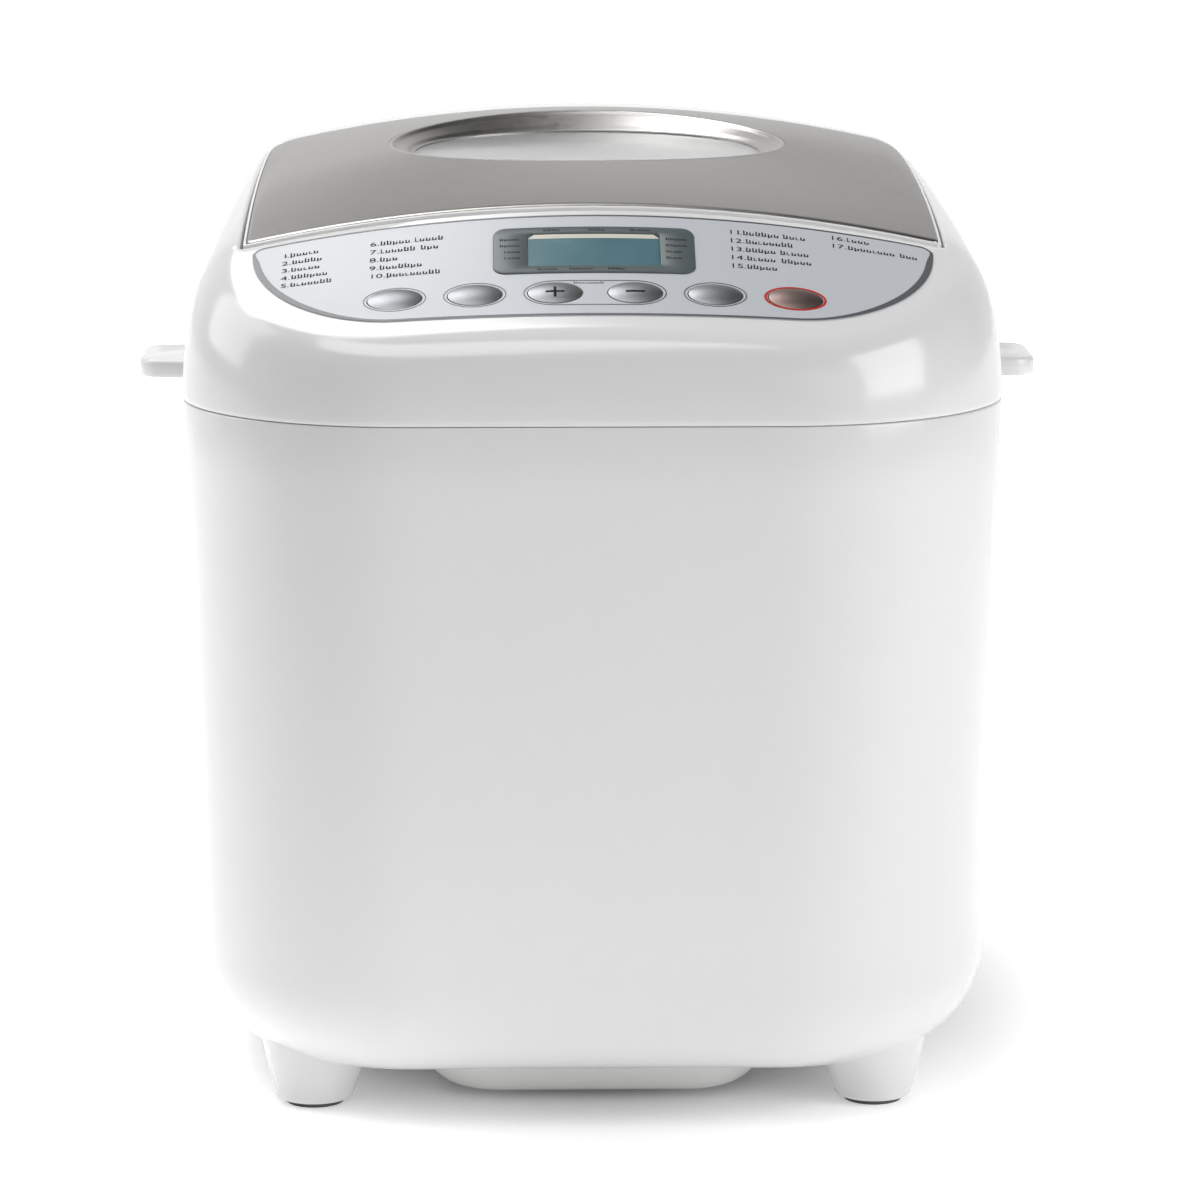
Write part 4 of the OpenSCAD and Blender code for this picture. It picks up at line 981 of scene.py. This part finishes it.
# ---------------------------------------------------------------- pan
def make_pan():
    """Non-stick pan with tapered walls, a rolled rim and an opening for its hub."""
    lo, hi = box_mm("bread_pan")
    base, rim = lo[2], hi[2]

    def line(w, d, r, z):
        return at_z(ring(w, OVEN_Y - d, OVEN_Y + d, r, r, 14, 12), z)

    def hub(r, z):
        p = line(50, 50, 49, z)
        a = np.arctan2(p[:, 1] - OVEN_Y, p[:, 0])
        return np.column_stack([r * np.cos(a), OVEN_Y + r * np.sin(a), p[:, 2]])

    hub_r = 9.3
    rings = [hub(hub_r, base), hub(40, base), line(54, 71, 16, base), line(57.5, 74.5, 17.5, base + 1),
             line(59.3, 76.3, 19, base + 3.4)]
    for t in np.linspace(0, 1, 8):
        rings.append(line(60 + 6 * t, 77 + 7 * t, 20 + 4 * t, base + 6 + (rim - base - 10) * t))
    rings += [line(w, w + 18, r, rim + z) for w, r, z in (
        (66.6, 24.5, -3.2), (68.2, 25.6, -2.4), (69, 26, -1.4), (68.8, 25.9, -0.5), (68, 25.4, 0), (66, 24, 0),
        (65.0, 23, -0.6))]
    for t in np.linspace(0, 1, 8):
        rings.append(line(64.6 - 6 * t, 82.6 - 7 * t, 22.8 - 4 * t, rim - 3 - (rim - base - 11) * t))
    rings += [line(57.6, 74.6, 18, base + 5), line(55.6, 72.6, 16.4, base + 2.6), line(52, 69, 15, base + 1.7),
              hub(20, base + 1.6), hub(hub_r, base + 1.6)]
    loft("bread_pan_detail", rings, "pan", NONSTICK, closed=True, slot="nonstick_pan",
         replaces=("bread_pan",), sharp=50)


make_pan()


# ---------------------------------------------------------------- carried-over CAD parts
CAD_LOOKS = {
    "base_plate": BASE_WHITE, "foot_pads": RUBBER, "lcd_module": BLACK, "control_board": BOARD,
    "tact_switches": BLACK, "inner_deck": DECK_WHITE, "oven_chamber": SHEET, "pan_seat": SHEET,
    "pan_clips": SPRING, "heater_element": HEATER, "heater_terminals": CERAMIC,
    "temperature_sensor": SPRING, "thermal_fuse": BRASS, "chassis_plate": SHEET, "main_bearing": BRASS,
    "motor_can": MOTOR, "run_capacitor": BLACK, "power_board": BOARD, "cord_inlet": INLET,
    "hinge_brackets": SPRING, "hinge_pins": SHAFT, "base_screws": SCREW, "deck_screws": SCREW,
    "drive_belt": BELT, "liner_glass": PANE, "hinge_arms": LID_WHITE, "lid_screws": SCREW, "pan_base": CAST,
    "pan_handle": SHAFT, "pan_shaft": SHAFT, "pan_coupler": CAST, "shaft_seal": BELT,
    "kneading_paddle": NONSTICK, "main_shaft": SHAFT, "large_pulley": PULLEY, "drive_coupler": CAST,
    "motor_rotor": MOTOR, "motor_pulley": PULLEY}
SOFTENED = {"hinge_arms": 0.8, "kneading_paddle": 0.6, "cord_inlet": 0.5, "inner_deck": 0.4, "foot_pads": 0.5,
            "hinge_brackets": 0.2, "pan_base": 0.3, "oven_chamber": 0.2, "pan_clips": 0.15, "liner_glass": 0.4}
for node, material in CAD_LOOKS.items():
    obj = NODES[node]
    obj.data.materials.clear()
    obj.data.materials.append(material)
    if node in SOFTENED:
        soften(obj, SOFTENED[node])


# ---------------------------------------------------------------- floor, light and camera
def make_floor():
    """Pale floor that glows away from the object, so that it runs into the backdrop without an edge."""
    mesh = bpy.data.meshes.new("floor")
    s = 6.0
    mesh.from_pydata([(-s, -s, 0), (s, -s, 0), (s, s, 0), (-s, s, 0)], [], [(0, 1, 2, 3)])
    floor = bpy.data.objects.new("floor", mesh)
    bpy.context.scene.collection.objects.link(floor)
    mat, nodes, links, bsdf = new_material("studio floor")
    grain = noise(nodes, links, 40, 3)
    links.new(spread(nodes, links, grain.outputs["Fac"], 0.5, 0.6), bsdf.inputs["Roughness"])
    bsdf.inputs["Base Color"].default_value = (0.9, 0.9, 0.9, 1)
    bsdf.inputs["Specular IOR Level"].default_value = 0.2
    bsdf.inputs["Emission Color"].default_value = (1, 1, 1, 1)
    coord = nodes.new("ShaderNodeTexCoord")
    split = nodes.new("ShaderNodeSeparateXYZ")
    links.new(coord.outputs["Object"], split.inputs["Vector"])
    oval_reach = nodes.new("ShaderNodeMapping")
    oval_reach.inputs["Scale"].default_value = (1.3, 1, 1)
    links.new(coord.outputs["Object"], oval_reach.inputs["Vector"])
    reach = nodes.new("ShaderNodeVectorMath")
    reach.operation = "LENGTH"
    links.new(oval_reach.outputs["Vector"], reach.inputs[0])
    glow = None
    for source, a, b, low, high in ((reach.outputs["Value"], 0.10, 0.23, 0.0, 0.62),
                                    (split.outputs["Y"], -0.6, -0.3, 0.3, 1.0),
                                    (split.outputs["Y"], 0.6, 2.5, 1.0, 1.5)):
        ramp = nodes.new("ShaderNodeMapRange")
        ramp.interpolation_type = "SMOOTHSTEP"
        for name, value in (("From Min", a), ("From Max", b), ("To Min", low), ("To Max", high)):
            ramp.inputs[name].default_value = value
        links.new(source, ramp.inputs["Value"])
        if glow:
            product = nodes.new("ShaderNodeMath")
            product.operation = "MULTIPLY"
            links.new(glow, product.inputs[0])
            links.new(ramp.outputs["Result"], product.inputs[1])
            glow = product.outputs["Value"]
        else:
            glow = ramp.outputs["Result"]
    links.new(glow, bsdf.inputs["Emission Strength"])
    mesh.materials.append(mat)


def make_world():
    """Dim room, a bright backdrop low behind the object, and plain white where the camera looks past it."""
    world = bpy.data.worlds.new("studio")
    bpy.context.scene.world = world
    world.use_nodes = True
    nodes, links = world.node_tree.nodes, world.node_tree.links
    lit = nodes["Background"]
    lit.inputs["Color"].default_value = (1, 1, 1, 1)
    coord = nodes.new("ShaderNodeTexCoord")
    split = nodes.new("ShaderNodeSeparateXYZ")
    links.new(coord.outputs["Generated"], split.inputs["Vector"])
    behind = nodes.new("ShaderNodeMapRange")
    for name, value in (("From Min", 0.5), ("From Max", 1.0), ("To Min", 0.05), ("To Max", 0.95)):
        behind.inputs[name].default_value = value
    links.new(split.outputs["Y"], behind.inputs["Value"])
    low = nodes.new("ShaderNodeMapRange")
    for name, value in (("From Min", 0.5), ("From Max", 0.8), ("To Min", 1.0), ("To Max", 0.3)):
        low.inputs[name].default_value = value
    links.new(split.outputs["Z"], low.inputs["Value"])
    strength = nodes.new("ShaderNodeMath")
    strength.operation = "MULTIPLY"
    links.new(behind.outputs["Result"], strength.inputs[0])
    links.new(low.outputs["Result"], strength.inputs[1])
    links.new(strength.outputs["Value"], lit.inputs["Strength"])
    seen = nodes.new("ShaderNodeBackground")
    seen.inputs["Color"].default_value = (1, 1, 1, 1)
    seen.inputs["Strength"].default_value = 1.1
    path = nodes.new("ShaderNodeLightPath")
    mix = nodes.new("ShaderNodeMixShader")
    links.new(path.outputs["Is Camera Ray"], mix.inputs["Fac"])
    links.new(lit.outputs["Background"], mix.inputs[1])
    links.new(seen.outputs["Background"], mix.inputs[2])
    links.new(mix.outputs["Shader"], nodes["World Output"].inputs["Surface"])


def area_light(name, at, aim, size, power):
    data = bpy.data.lights.new(name, "AREA")
    data.shape = "RECTANGLE"
    data.size, data.size_y = size
    data.energy = power
    obj = bpy.data.objects.new(name, data)
    obj.location = at
    obj.rotation_mode = "QUATERNION"
    obj.rotation_quaternion = (Vector(aim) - Vector(at)).to_track_quat("-Z", "Y")
    bpy.context.scene.collection.objects.link(obj)


def make_camera():
    """Camera of the main view: long lens, 10.5 degrees above the horizon, level."""
    distance, elevation, azimuth = 1.6, math.radians(10.5), math.radians(-1.1)
    level = math.cos(elevation)
    back = Vector((math.sin(azimuth) * level, -math.cos(azimuth) * level, math.sin(elevation)))
    data = bpy.data.cameras.new("camera")
    data.sensor_width = 36
    data.lens = 145.9
    camera = bpy.data.objects.new("camera", data)
    camera.location = Vector((0.0042, 0, 0.1332)) + back * distance
    camera.rotation_mode = "QUATERNION"
    camera.rotation_quaternion = (-back).to_track_quat("-Z", "Y")
    bpy.context.scene.collection.objects.link(camera)
    bpy.context.scene.camera = camera


make_floor()
make_world()
area_light("right softbox", (1.35, -0.85, 0.8), (0, 0, 0.15), (1.0, 1.2), 13.5)
area_light("left rim softbox", (-1.3, 0.3, 0.9), (0, 0, 0.15), (0.9, 1.2), 7)
area_light("front fill", (0.95, -2.1, 1.0), (0, 0, 0.15), (1.2, 0.8), 1.5)
area_light("upper front softbox", (-0.35, -0.7, 1.6), (0, 0, 0.2), (1.0, 0.7), 7.5)
area_light("top softbox", (-0.6, 0.5, 1.75), (0, 0, 0.2), (1.0, 1.0), 18)
make_camera()
bpy.context.scene.view_settings.view_transform = "Standard"
